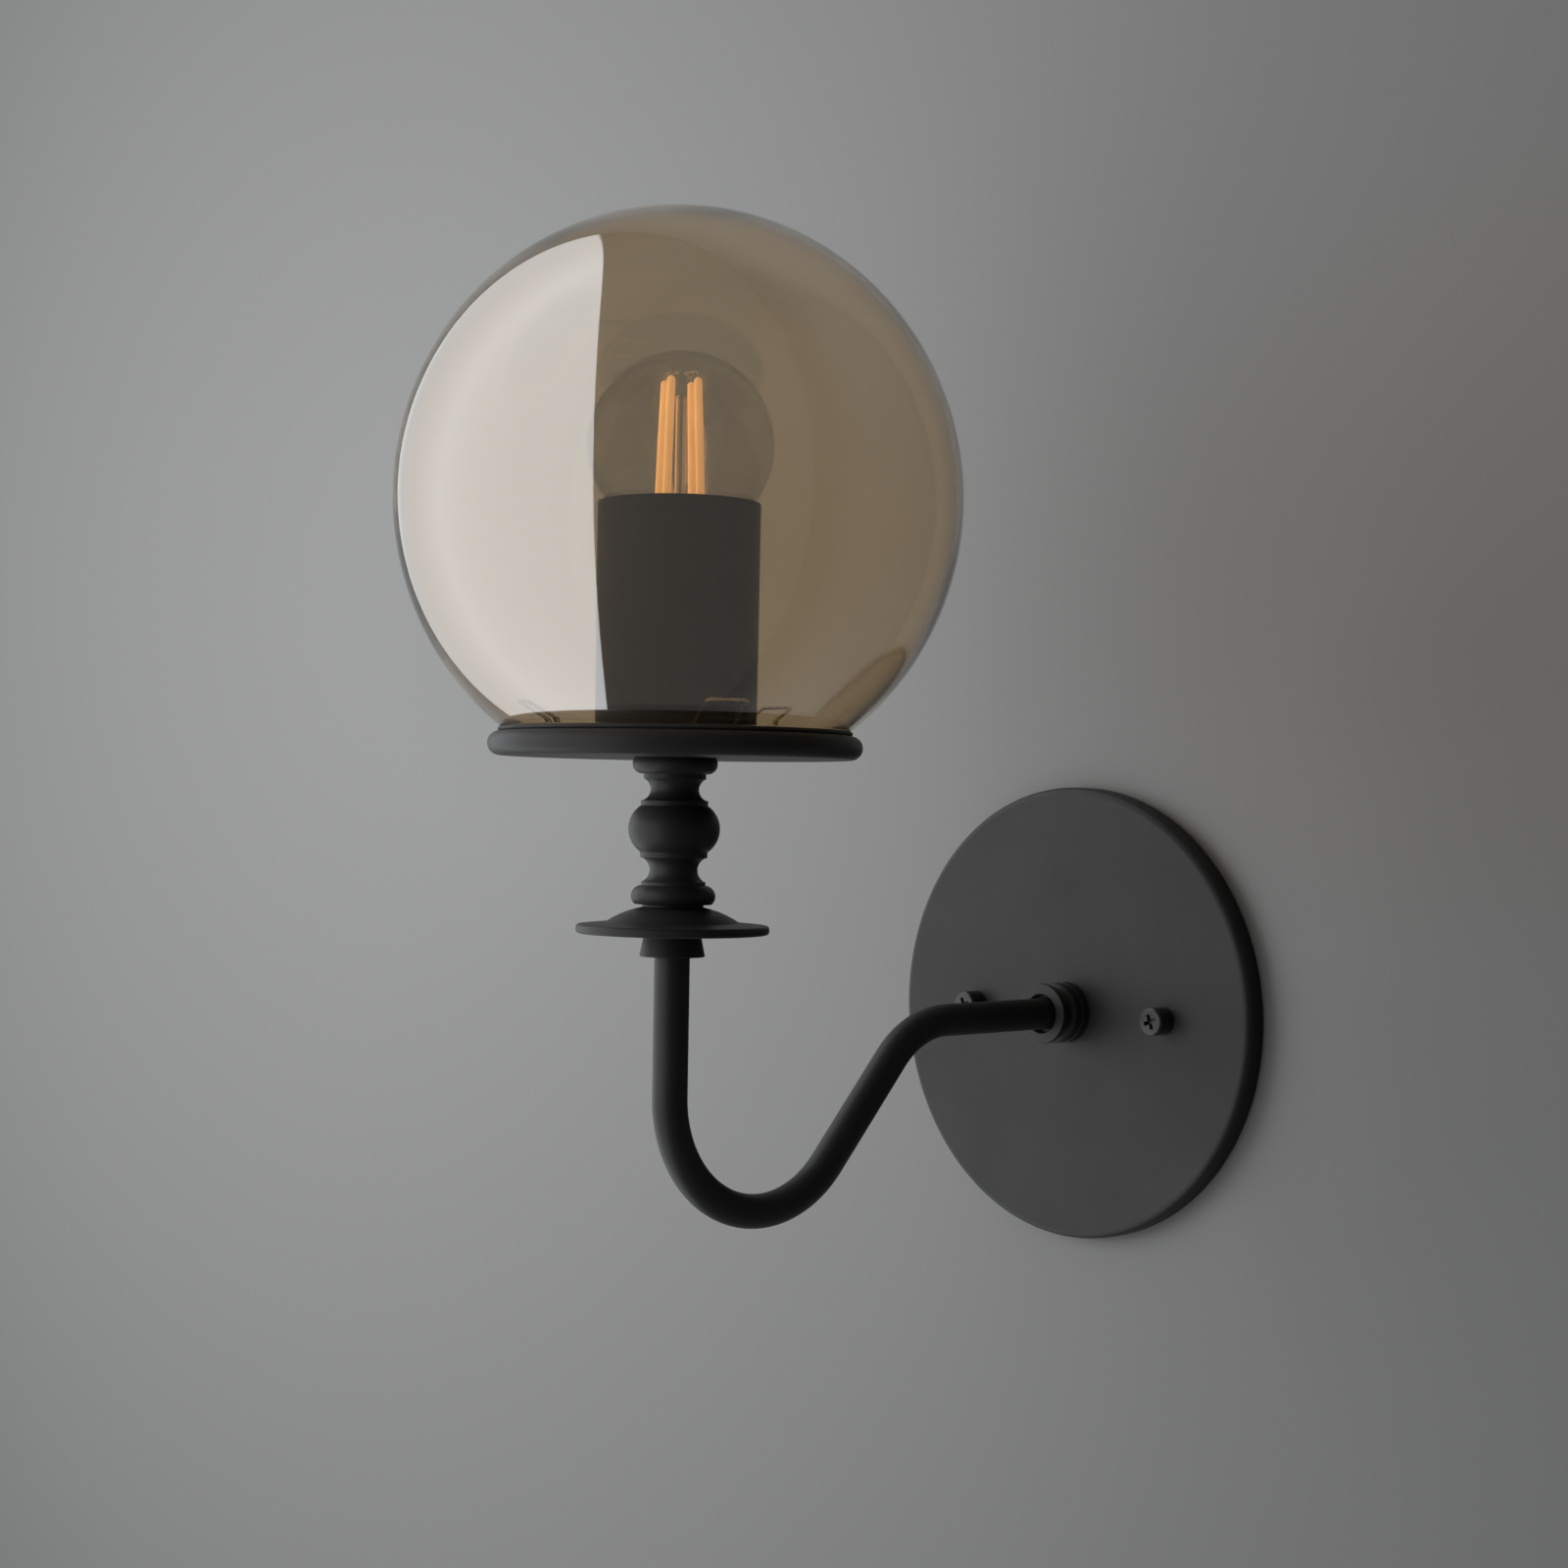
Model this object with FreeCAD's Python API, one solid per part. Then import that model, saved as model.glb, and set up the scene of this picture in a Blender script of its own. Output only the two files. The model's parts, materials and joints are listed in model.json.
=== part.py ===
import FreeCAD, Part
import math
import os

# Globe wall sconce: a gooseneck arm leaves a round wall canopy, turns up and carries
# a drip disc, a turned baluster, a tray, a socket cup with its bulb, and a glass globe.
# Millimetres. The origin is the centre of the canopy's back, on the wall.
# +Z is up, +Y goes into the wall and the arm reaches out towards -Y.

# ---- Driving dimensions -----------------------------------------------------------

# Clearances
SLIP_FIT = 0.05            # radial, between a thread or rod and its hole
SCREW_HOLE_GAP = 0.45      # radial, round a screw that passes through a plate
CANOPY_HOLE_GAP = 0.2      # radial, round the pipe where it passes through the canopy
WASHER_HOLE_GAP = 0.1      # radial, round a pipe in its washer
FACE_GAP = 0.1             # between two inner faces that nearly meet
RUN_GAP = 0.08             # radial, between the bulb's screw shell and the socket's
OVERCUT = 1.0              # how far a cutting tool runs past the face that it cuts

# Wall canopy
CANOPY_R = 69.85
CANOPY_DEPTH = 6.4
CANOPY_WALL = 1.2
CANOPY_EDGE_R = 2.4

# Crossbar bracket behind the canopy
BRACKET_THICK = 1.8
BRACKET_WIDTH = 18.0
BRACKET_PAST_SCREW = 21.0  # from a canopy screw's centre to the level bar's tip
BRACKET_PAST_SLOT = 7.3    # from a slot's end to the upright bar's tip
BRACKET_TIP_R = 4.0
BRACKET_CENTRE_HOLE_R = 6.5
BOX_SCREW_SPACING = 79.4   # between the slots' centres, one above the other
BOX_SLOT_LENGTH = 24.0
BOX_SLOT_HALF_WIDTH = 2.3
BRACKET_RIB_HEIGHT = 1.0
BRACKET_RIB_WIDTH = 1.6

# Canopy screws
SCREW_SPACING = 76.0
SCREW_HEAD_R = 4.2
SCREW_HEAD_HEIGHT = 6.2
SCREW_SHANK_R = 2.05
SCREW_CROSS_WIDTH = 1.3
SCREW_CROSS_LENGTH = 5.0
SCREW_CROSS_DEPTH = 1.6
SCREW_TURN = 20.0          # of the recess from upright, degrees
SCREW_EDGE = 0.5
SCREW_END_MARGIN = 0.3     # shank end to the wall

# Ground screw on the bracket
GROUND_X = 22.0
GROUND_HEAD_R = 3.6
GROUND_HEAD_HEIGHT = 1.9
GROUND_SHANK_R = 2.3
GROUND_SLOT_WIDTH = 0.9
GROUND_SLOT_DEPTH = 0.9

# Threaded nipple, washer and nut that hold the arm's hub to the canopy
PIPE_R = 4.85
PIPE_BORE_R = 3.45
WASHER_R = 8.0
WASHER_THICK = 0.7
WASHER_SPLIT = 1.4
NUT_ACROSS_FLATS = 14.3
NUT_THICK = 2.4
NIPPLE_PAST_NUT = 0.9
NIPPLE_IN_HUB = 5.0

# Wall collar (the arm's turned hub)
COLLAR_LENGTH = 12.0
COLLAR_R = 9.3
COLLAR_LIP_THICK = 1.7
COLLAR_GROOVE_R = 7.0
COLLAR_GROOVE_LENGTH = 3.2
COLLAR_RING_LENGTH = 3.0
COLLAR_RING_CHAMFER = 1.0
COLLAR_STEP_R = 8.5
COLLAR_STEP_LENGTH = 1.0
COLLAR_MOUTH_R = 6.05
COLLAR_MOUTH_DEPTH = 3.4
COLLAR_EDGE_R = 0.45

# Gooseneck arm
TUBE_R = 4.7625
TUBE_WALL = 1.0
ARM_REACH = 167.0          # wall to the stem's axis
ARM_DROP = 49.3            # lowest point of the tube's centreline below the canopy's centre
LOWER_BEND_R = 33.5
UPPER_BEND_R = 30.0
DIAGONAL_ANGLE = 48.2      # of the straight run between the bends, degrees from level

# Cone coupling at the foot of the stem
CONE_BOTTOM_Z = 21.9
CONE_HEIGHT = 6.1
CONE_BOTTOM_R = 8.8
CONE_TOP_R = 7.6
TUBE_IN_CONE = 2.6

# Drip disc (bobeche)
DRIP_R = 25.9
DRIP_RIM_THICK = 2.4
DRIP_RIM_EDGE = 0.9
DRIP_DOME_FOOT_R = 17.9
DRIP_DOME_FOOT_RISE = 3.1
DRIP_NECK_R = 8.2
DRIP_NECK_START = 7.1
DRIP_HEIGHT = 7.9
DRIP_DOME_BULGE = 0.4
DRIP_WALL = 2.2
DRIP_HUB_R = 9.2
DRIP_SEAT_R = 21.5

# Baluster: heights are counted up from its foot
FOOT_RING_R = 11.28
FOOT_RING_BASE_R = 10.4
FOOT_RING_HEIGHT = 5.0
COVE_SHOULDER_R = 8.6
COVE_SHOULDER_HEIGHT = 0.9
LOWER_COVE_R = 6.42
LOWER_COVE_HEIGHT = 6.5
FILLET_R = 9.0
FILLET_HEIGHT = 1.5
BALL_R = 12.26
BALL_HEIGHT = 12.3
UPPER_COVE_R = 6.5
UPPER_COVE_HEIGHT = 5.7
TOP_SHOULDER_R = 8.35
TOP_SHOULDER_HEIGHT = 1.4
TOP_RING_R = 11.4
TOP_RING_HEIGHT = 4.3
TOP_RING_WIDEST_RISE = 2.6
TOP_RING_FACE_R = 10.9

# Tray under the globe
TRAY_PAST_GASKET = 2.75
TRAY_THICK = 6.4

# Gasket and glass globe
GASKET_PAST_GLASS = 0.7
GASKET_WIDTH = 4.4
GASKET_THICK = 1.2
GLOBE_R = 76.0             # half width
GLOBE_HALF_HEIGHT = 77.6
GLOBE_MOUTH_R = 46.7       # outer radius where the glass stands on the gasket
GLOBE_WALL = 2.0

# Spring wires that centre the globe
CLIP_COUNT = 3
CLIP_FIRST_ANGLE = -22.6   # degrees from +X, seen from above
CLIP_WIRE_R = 0.5
CLIP_WIDTH = 10.6          # between the two legs
CLIP_FOOT_RADIUS = 30.0
CLIP_RISE = 8.2
CLIP_GLASS_GAP = 0.4
CLIP_CORNER_R = 1.3
CLIP_ROOT_DEPTH = 2.2

# Socket cup
CUP_R = 21.85
CUP_FOOT_R = 21.6
CUP_HEIGHT = 61.8
CUP_WALL = 1.2
CUP_CORNER_R = 4.0

# Stem pipe, its nut and washer in the cup
CUP_WASHER_R = 11.0
CUP_WASHER_THICK = 1.0
CUP_NUT_THICK = 4.0
PIPE_PAST_NUT = 5.6

# Lamp socket
SOCKET_CAP_R = 18.4
SOCKET_CAP_HEIGHT = 7.5
SOCKET_CAP_WALL = 1.0
SOCKET_CAP_HUB_R = 7.5
SOCKET_CAP_HUB_HEIGHT = 4.6
SOCKET_BODY_R = 17.6
SOCKET_BODY_HEIGHT = 38.0
SOCKET_WELL_R = 14.2
SOCKET_FLOOR = 6.0
SOCKET_RIB_COUNT = 12
SOCKET_RIB_R = 0.8
SHELL_WALL = 0.45
SHELL_DROP = 2.2           # socket shell's top below the body's rim
CONTACT_WIDTH = 5.0
CONTACT_THICK = 0.5
CONTACT_RISE = 2.4
RIVET_R = 1.6
RIVET_HEAD_R = 2.2
RIVET_HEAD_HEIGHT = 0.8

# Bulb
BULB_R = 25.4
BULB_NECK_ANGLE = 45.0     # degrees below the equator where the ball turns into the neck
BULB_NECK_R = 12.2
BULB_NECK_STRAIGHT = 0.63
BULB_GLASS = 0.8
BULB_SCREW_R = 13.0
BULB_SCREW_HEIGHT = 21.0
BULB_SCREW_WALL = 0.35
BULB_NECK_IN_SCREW = 4.0
INSULATOR_TOP_R = 11.0
INSULATOR_FOOT_R = 6.0
INSULATOR_HEIGHT = 4.2
INSULATOR_FLANK_R = 9.8
INSULATOR_FLANK_RISE = 1.5
TIP_R = 4.7
TIP_FACE_R = 2.8
TIP_HEIGHT = 1.3
TIP_BULGE = 0.55
MOUNT_SEAL_HEIGHT = 1.0
MOUNT_FLARE_HEIGHT = 5.0
MOUNT_FLARE_MID_R = 4.3
MOUNT_FLARE_MID_RISE = 2.25
MOUNT_ROD_R = 1.45
MOUNT_TOP_BELOW_BULB_TOP = 11.6
FILAMENT_COUNT = 4
FILAMENT_R = 1.15
FILAMENT_LENGTH = 40.0
FILAMENT_RING_FOOT_R = 6.9
FILAMENT_RING_TOP_R = 5.2
FILAMENT_TOP_BELOW_BULB_TOP = 8.6
FILAMENT_FIRST_ANGLE = 18.0
SUPPORT_WIRE_R = 0.3
SUPPORT_RISE = 1.6
SUPPORT_BEND_R = 0.8

# Insulated leads inside the arm
LEAD_R = 1.0
LEAD_OFFSET = 1.15
LEAD_IN_SOCKET = 2.4

# ---- Heights and places that follow from them -------------------------------------

CANOPY_FACE = CANOPY_DEPTH
CANOPY_INNER_FACE = CANOPY_DEPTH - CANOPY_WALL
COLLAR_FACE = CANOPY_FACE + COLLAR_LENGTH
TUBE_START = CANOPY_FACE + NIPPLE_IN_HUB + FACE_GAP
NIPPLE_BACK = CANOPY_INNER_FACE - WASHER_THICK - NUT_THICK - NIPPLE_PAST_NUT

DRIP_BOTTOM_Z = CONE_BOTTOM_Z + CONE_HEIGHT
BALUSTER_Z = DRIP_BOTTOM_Z + DRIP_HEIGHT
BALUSTER_HEIGHT = (FOOT_RING_HEIGHT + COVE_SHOULDER_HEIGHT + LOWER_COVE_HEIGHT + FILLET_HEIGHT
                   + BALL_HEIGHT + FILLET_HEIGHT + UPPER_COVE_HEIGHT + TOP_SHOULDER_HEIGHT
                   + TOP_RING_HEIGHT)
TRAY_BOTTOM_Z = BALUSTER_Z + BALUSTER_HEIGHT
TRAY_TOP_Z = TRAY_BOTTOM_Z + TRAY_THICK
TUBE_END_Z = CONE_BOTTOM_Z + TUBE_IN_CONE
STEM_PIPE_Z = TUBE_END_Z + FACE_GAP

CUP_FLOOR_Z = TRAY_TOP_Z + CUP_WALL
CUP_NUT_Z = CUP_FLOOR_Z + CUP_WASHER_THICK
CUP_NUT_TOP_Z = CUP_NUT_Z + CUP_NUT_THICK
STEM_PIPE_TOP_Z = CUP_NUT_TOP_Z + PIPE_PAST_NUT
SOCKET_CAP_Z = CUP_NUT_TOP_Z + FACE_GAP
SOCKET_BODY_Z = SOCKET_CAP_Z + SOCKET_CAP_HEIGHT
SOCKET_FLOOR_Z = SOCKET_BODY_Z + SOCKET_FLOOR
SOCKET_TOP_Z = SOCKET_BODY_Z + SOCKET_BODY_HEIGHT

GASKET_R = GLOBE_MOUTH_R + GASKET_PAST_GLASS
TRAY_R = GASKET_R + TRAY_PAST_GASKET
GLASS_Z = TRAY_TOP_Z + GASKET_THICK
GLOBE_CENTRE_Z = GLASS_Z + GLOBE_HALF_HEIGHT * math.sqrt(1 - (GLOBE_MOUTH_R / GLOBE_R) ** 2)

CONTACT_TOP_Z = SOCKET_FLOOR_Z + CONTACT_RISE
TIP_Z = CONTACT_TOP_Z + FACE_GAP
INSULATOR_Z = TIP_Z + TIP_HEIGHT
SCREW_SHELL_Z = INSULATOR_Z + INSULATOR_HEIGHT
SCREW_SHELL_TOP_Z = SCREW_SHELL_Z + BULB_SCREW_HEIGHT
SOCKET_SHELL_R = BULB_SCREW_R + RUN_GAP

BULB_NECK_COSINE = math.cos(math.radians(BULB_NECK_ANGLE))
BULB_NECK_SINE = math.sin(math.radians(BULB_NECK_ANGLE))
BULB_HOLLOW_R = (BULB_R * BULB_NECK_COSINE - BULB_NECK_R) / (1 - BULB_NECK_COSINE)
BULB_GLASS_FOOT_Z = SCREW_SHELL_TOP_Z - BULB_NECK_IN_SCREW
BULB_NECK_TOP_Z = BULB_GLASS_FOOT_Z + BULB_NECK_STRAIGHT
BULB_CENTRE_Z = BULB_NECK_TOP_Z + (BULB_R + BULB_HOLLOW_R) * BULB_NECK_SINE
BULB_TOP_Z = BULB_CENTRE_Z + BULB_R

ORIGIN = FreeCAD.Vector(0, 0, 0)
UP = FreeCAD.Vector(0, 0, 1)
HALF_ROOT = math.sqrt(0.5)
ARC_INSET = 1 - HALF_ROOT  # of a corner's radius: how far its arc's middle lies in from each side


# ---- Helpers ----------------------------------------------------------------------

def point(radius, height):
    """A point of a turned outline, drawn in the XZ plane."""
    return FreeCAD.Vector(radius, 0, height)


def turned(outline):
    """Turn a closed outline about Z. A step is (r, z), or (mid r, mid z, r, z) for an arc."""
    edges = []
    here = point(*outline[0])
    start = here
    for step in outline[1:]:
        there = point(*step[-2:])
        if len(step) == 4:
            edges.append(Part.Arc(here, point(*step[:2]), there).toShape())
        else:
            edges.append(Part.LineSegment(here, there).toShape())
        here = there
    edges.append(Part.LineSegment(here, start).toShape())
    face = Part.Face(Part.Wire(edges))
    return face.revolve(ORIGIN, UP, 360)


def rod(radius, bottom, top, x=0.0, y=0.0):
    """An upright cylinder between two heights."""
    return Part.makeCylinder(radius, top - bottom, FreeCAD.Vector(x, y, bottom), UP)


def block(size_x, size_y, bottom, top):
    """A box centred on the Z axis between two heights."""
    corner = FreeCAD.Vector(-size_x / 2, -size_y / 2, bottom)
    return Part.makeBox(size_x, size_y, top - bottom, corner)


def hexagon(across_flats, bottom, top):
    """A hexagonal prism with its axis on Z."""
    corner_r = across_flats / 2 / math.cos(math.pi / 6)
    corners = []
    for index in range(7):
        angle = math.radians(60 * index)
        corners.append(FreeCAD.Vector(corner_r * math.cos(angle), corner_r * math.sin(angle), bottom))
    return Part.Face(Part.makePolygon(corners)).extrude(FreeCAD.Vector(0, 0, top - bottom))


def chamfered_nut(across_flats, bore_r, bottom, top):
    """A hexagonal nut whose corners are turned off on both faces."""
    corner_r = across_flats / 2 / math.cos(math.pi / 6)
    bevel = corner_r - across_flats / 2
    half = bevel / 2
    turned_blank = turned([(0, bottom), (corner_r - bevel, bottom), (corner_r, bottom + half),
                           (corner_r, top - half), (corner_r - bevel, top), (0, top)])
    nut = hexagon(across_flats, bottom, top).common(turned_blank)
    return nut.cut(rod(bore_r, bottom - OVERCUT, top + OVERCUT))


def to_wall(shape, x=0.0, z=0.0):
    """Turn a piece that was built upright so that its height stands out of the wall."""
    shape.rotate(ORIGIN, FreeCAD.Vector(1, 0, 0), 90)
    shape.translate(FreeCAD.Vector(x, 0, z))
    return shape


def on_stem(shape):
    """Move a piece that was built on the Z axis to the stem's axis."""
    shape.translate(FreeCAD.Vector(0, -ARM_REACH, 0))
    return shape


def save(name, *shapes):
    """Write one node: one solid, or a group of separate solids."""
    solids = []
    for shape in shapes:
        solids.extend(shape.Solids)
    for solid in solids:
        if not solid.isValid() or solid.Volume <= 0:
            raise ValueError(name + " is not a valid solid")
    node = solids[0] if len(solids) == 1 else Part.makeCompound(solids)
    node.exportStep("parts/" + name + ".step")
    print(name, len(solids), round(node.Volume, 1))


# ---- Wall side --------------------------------------------------------------------

def wall_canopy():
    """Shallow spun pan: open at the wall, with a rounded front edge and three holes."""
    bend = CANOPY_EDGE_R * ARC_INSET
    inner_r = CANOPY_R - CANOPY_WALL
    inner_edge = CANOPY_EDGE_R - CANOPY_WALL
    inner_bend = inner_edge * ARC_INSET
    pan = turned([
        (0, CANOPY_FACE),
        (CANOPY_R - CANOPY_EDGE_R, CANOPY_FACE),
        (CANOPY_R - bend, CANOPY_FACE - bend, CANOPY_R, CANOPY_FACE - CANOPY_EDGE_R),
        (CANOPY_R, 0),
        (inner_r, 0),
        (inner_r, CANOPY_INNER_FACE - inner_edge),
        (inner_r - inner_bend, CANOPY_INNER_FACE - inner_bend,
         inner_r - inner_edge, CANOPY_INNER_FACE),
        (0, CANOPY_INNER_FACE)])
    pan = pan.cut(rod(PIPE_R + CANOPY_HOLE_GAP, 0, CANOPY_FACE + OVERCUT))
    for side in (-1, 1):
        hole = rod(SCREW_SHANK_R + SCREW_HOLE_GAP, 0, CANOPY_FACE + OVERCUT, x=side * SCREW_SPACING / 2)
        pan = pan.cut(hole)
    return to_wall(pan)


def rounded_bar(length, width, corner_r, bottom, top):
    """A flat bar along X with rounded corners."""
    bar = block(length, width, bottom, top)
    upright = [edge for edge in bar.Edges if abs(edge.tangentAt(edge.FirstParameter).z) > 0.9]
    return bar.makeFillet(corner_r, upright)


def slot_tool(length, half_width, centre_x, bottom, top):
    """A straight slot along X with round ends."""
    reach = length / 2 - half_width
    tool = Part.makeBox(2 * reach, 2 * half_width, top - bottom,
                        FreeCAD.Vector(centre_x - reach, -half_width, bottom))
    for side in (-1, 1):
        tool = tool.fuse(rod(half_width, bottom, top, x=centre_x + side * reach))
    return tool


def mounting_bracket():
    """Cross-shaped plate: slots above and below for the wall box, tapped holes left and right."""
    across_span = SCREW_SPACING + 2 * BRACKET_PAST_SCREW
    upright_span = BOX_SCREW_SPACING + BOX_SLOT_LENGTH + 2 * BRACKET_PAST_SLOT
    across = rounded_bar(across_span, BRACKET_WIDTH, BRACKET_TIP_R, 0, BRACKET_THICK)
    upright = rounded_bar(upright_span, BRACKET_WIDTH, BRACKET_TIP_R, 0, BRACKET_THICK)
    rib_length = BOX_SCREW_SPACING - BOX_SLOT_LENGTH - 2 * BRACKET_RIB_WIDTH
    for side in (-1, 1):
        slot = slot_tool(BOX_SLOT_LENGTH, BOX_SLOT_HALF_WIDTH, side * BOX_SCREW_SPACING / 2,
                         -OVERCUT, BRACKET_THICK + OVERCUT)
        upright = upright.cut(slot)
        rib = block(rib_length, BRACKET_RIB_WIDTH, 0, BRACKET_THICK + BRACKET_RIB_HEIGHT)
        rib.translate(FreeCAD.Vector(0, side * (BRACKET_WIDTH - BRACKET_RIB_WIDTH) / 2, 0))
        upright = upright.fuse(rib)
    upright.rotate(ORIGIN, UP, 90)
    hub_clear = rod(NUT_ACROSS_FLATS, BRACKET_THICK, BRACKET_THICK + BRACKET_RIB_HEIGHT + OVERCUT)
    plate = across.fuse(upright).removeSplitter().cut(hub_clear)
    plate = plate.cut(rod(BRACKET_CENTRE_HOLE_R, -OVERCUT, BRACKET_THICK + OVERCUT))
    for side in (-1, 1):
        tapped = rod(SCREW_SHANK_R + SLIP_FIT, -OVERCUT, BRACKET_THICK + OVERCUT,
                     x=side * SCREW_SPACING / 2)
        plate = plate.cut(tapped)
    plate = plate.cut(rod(GROUND_SHANK_R + SLIP_FIT, -OVERCUT, BRACKET_THICK + OVERCUT, x=-GROUND_X))
    return to_wall(plate)


def canopy_screw(side):
    """Tall cylindrical head with a cross recess, and a shank into the bracket."""
    head_top = CANOPY_FACE + SCREW_HEAD_HEIGHT
    screw = turned([
        (0, SCREW_END_MARGIN),
        (SCREW_SHANK_R - SCREW_EDGE, SCREW_END_MARGIN),
        (SCREW_SHANK_R, SCREW_END_MARGIN + SCREW_EDGE),
        (SCREW_SHANK_R, CANOPY_FACE),
        (SCREW_HEAD_R, CANOPY_FACE),
        (SCREW_HEAD_R, head_top - SCREW_EDGE),
        (SCREW_HEAD_R - SCREW_EDGE, head_top),
        (0, head_top)])
    for size_x, size_y in ((SCREW_CROSS_LENGTH, SCREW_CROSS_WIDTH),
                           (SCREW_CROSS_WIDTH, SCREW_CROSS_LENGTH)):
        screw = screw.cut(block(size_x, size_y, head_top - SCREW_CROSS_DEPTH, head_top + OVERCUT))
    screw.rotate(ORIGIN, UP, SCREW_TURN)
    return to_wall(screw, x=side * SCREW_SPACING / 2)


def ground_screw():
    """Slotted screw that holds the earth wire to the bracket."""
    head_top = BRACKET_THICK + GROUND_HEAD_HEIGHT
    screw = turned([
        (0, SCREW_END_MARGIN),
        (GROUND_SHANK_R, SCREW_END_MARGIN),
        (GROUND_SHANK_R, BRACKET_THICK),
        (GROUND_HEAD_R, BRACKET_THICK),
        (GROUND_HEAD_R, head_top - SCREW_EDGE),
        (GROUND_HEAD_R - SCREW_EDGE, head_top),
        (0, head_top)])
    slot = block(2 * GROUND_HEAD_R + OVERCUT, GROUND_SLOT_WIDTH,
                 head_top - GROUND_SLOT_DEPTH, head_top + OVERCUT)
    return to_wall(screw.cut(slot), x=-GROUND_X)


def arm_nipple():
    """Short threaded pipe that joins the collar to the canopy."""
    front = CANOPY_FACE + NIPPLE_IN_HUB
    nipple = rod(PIPE_R, NIPPLE_BACK, front).cut(rod(PIPE_BORE_R, NIPPLE_BACK - OVERCUT, front + OVERCUT))
    return to_wall(nipple)


def lock_washer():
    """Split spring washer between the canopy and the nut."""
    bottom = CANOPY_INNER_FACE - WASHER_THICK
    ring = rod(WASHER_R, bottom, CANOPY_INNER_FACE)
    ring = ring.cut(rod(PIPE_R + WASHER_HOLE_GAP, bottom - OVERCUT, CANOPY_FACE))
    split = Part.makeBox(WASHER_R + OVERCUT, WASHER_SPLIT, 2 * WASHER_THICK + 2,
                         FreeCAD.Vector(0, -WASHER_SPLIT / 2, bottom - OVERCUT))
    return to_wall(ring.cut(split))


def canopy_nut():
    """Hexagonal nut that pulls the collar against the canopy."""
    top = CANOPY_INNER_FACE - WASHER_THICK
    return to_wall(chamfered_nut(NUT_ACROSS_FLATS, PIPE_R + SLIP_FIT, top - NUT_THICK, top))


def wall_collar():
    """Turned hub: a thin lip, a deep groove, a chamfered ring, and a step on the canopy."""
    lip_back = COLLAR_FACE - COLLAR_LIP_THICK
    ring_front = lip_back - COLLAR_GROOVE_LENGTH
    ring_back = ring_front - COLLAR_RING_LENGTH
    groove_mid = (lip_back + ring_front) / 2
    step_back = ring_back - COLLAR_STEP_LENGTH
    edge = COLLAR_EDGE_R * ARC_INSET
    hub = turned([
        (PIPE_R + SLIP_FIT, CANOPY_FACE),
        (COLLAR_R, CANOPY_FACE),
        (COLLAR_R, step_back),
        (COLLAR_STEP_R, step_back),
        (COLLAR_STEP_R, ring_back),
        (COLLAR_R, ring_back),
        (COLLAR_R, ring_front - COLLAR_RING_CHAMFER),
        (COLLAR_R - COLLAR_RING_CHAMFER, ring_front),
        (COLLAR_GROOVE_R + COLLAR_EDGE_R, ring_front),
        (COLLAR_GROOVE_R, groove_mid, COLLAR_GROOVE_R + COLLAR_EDGE_R, lip_back),
        (COLLAR_R - COLLAR_EDGE_R, lip_back),
        (COLLAR_R, lip_back + COLLAR_EDGE_R),
        (COLLAR_R, COLLAR_FACE - COLLAR_EDGE_R),
        (COLLAR_R - edge, COLLAR_FACE - edge, COLLAR_R - COLLAR_EDGE_R, COLLAR_FACE),
        (COLLAR_MOUTH_R, COLLAR_FACE),
        (COLLAR_MOUTH_R, COLLAR_FACE - COLLAR_MOUTH_DEPTH),
        (TUBE_R + SLIP_FIT, COLLAR_FACE - COLLAR_MOUTH_DEPTH),
        (TUBE_R + SLIP_FIT, TUBE_START - FACE_GAP),
        (PIPE_R + SLIP_FIT, TUBE_START - FACE_GAP)])
    return to_wall(hub)


# ---- Arm --------------------------------------------------------------------------

def arm_route(start_y, end_z, x=0.0):
    """Centreline from the wall out, down the diagonal, round the lower bend and up the stem."""
    angle = math.radians(DIAGONAL_ANGLE)
    low_y = LOWER_BEND_R - ARM_REACH
    low_z = LOWER_BEND_R - ARM_DROP
    foot_y = low_y + LOWER_BEND_R * math.sin(angle)
    foot_z = low_z - LOWER_BEND_R * math.cos(angle)
    corner_y = foot_y - foot_z / math.tan(angle)
    tangent = UPPER_BEND_R * math.tan(angle / 2)
    high_y = corner_y + tangent

    def at(y, z):
        return FreeCAD.Vector(x, y, z)

    def on_low_bend(turn):
        return at(low_y + LOWER_BEND_R * math.sin(turn), low_z - LOWER_BEND_R * math.cos(turn))

    def on_high_bend(turn):
        return at(high_y - UPPER_BEND_R * math.sin(turn),
                  -UPPER_BEND_R + UPPER_BEND_R * math.cos(turn))

    bend_top = on_low_bend(-math.pi / 2)
    bend_foot = on_low_bend(angle)
    bend_mid = on_low_bend((angle - math.pi / 2) / 2)
    edges = [
        Part.LineSegment(at(start_y, 0), on_high_bend(0)),
        Part.Arc(on_high_bend(0), on_high_bend(angle / 2), on_high_bend(angle)),
        Part.LineSegment(on_high_bend(angle), bend_foot),
        Part.Arc(bend_foot, bend_mid, bend_top),
        Part.LineSegment(bend_top, at(-ARM_REACH, end_z))]
    return Part.Wire([edge.toShape() for edge in edges])


def swept(route, radius):
    """A round solid along a route that starts along -Y."""
    start = route.Edges[0].valueAt(route.Edges[0].FirstParameter)
    circle = Part.Circle(start, FreeCAD.Vector(0, -1, 0), radius)
    face = Part.Face(Part.Wire(circle.toShape()))
    solid = route.makePipe(face)
    expected = math.pi * radius * radius * route.Length
    if abs(solid.Volume - expected) > 0.01 * expected:
        raise ValueError("a swept piece has the wrong volume")
    return solid


def arm_tube():
    """Hollow gooseneck from inside the collar to inside the cone coupling."""
    outer = swept(arm_route(-TUBE_START, TUBE_END_Z), TUBE_R)
    bore = swept(arm_route(-TUBE_START + OVERCUT, TUBE_END_Z + OVERCUT), TUBE_R - TUBE_WALL)
    return outer.cut(bore)


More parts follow.
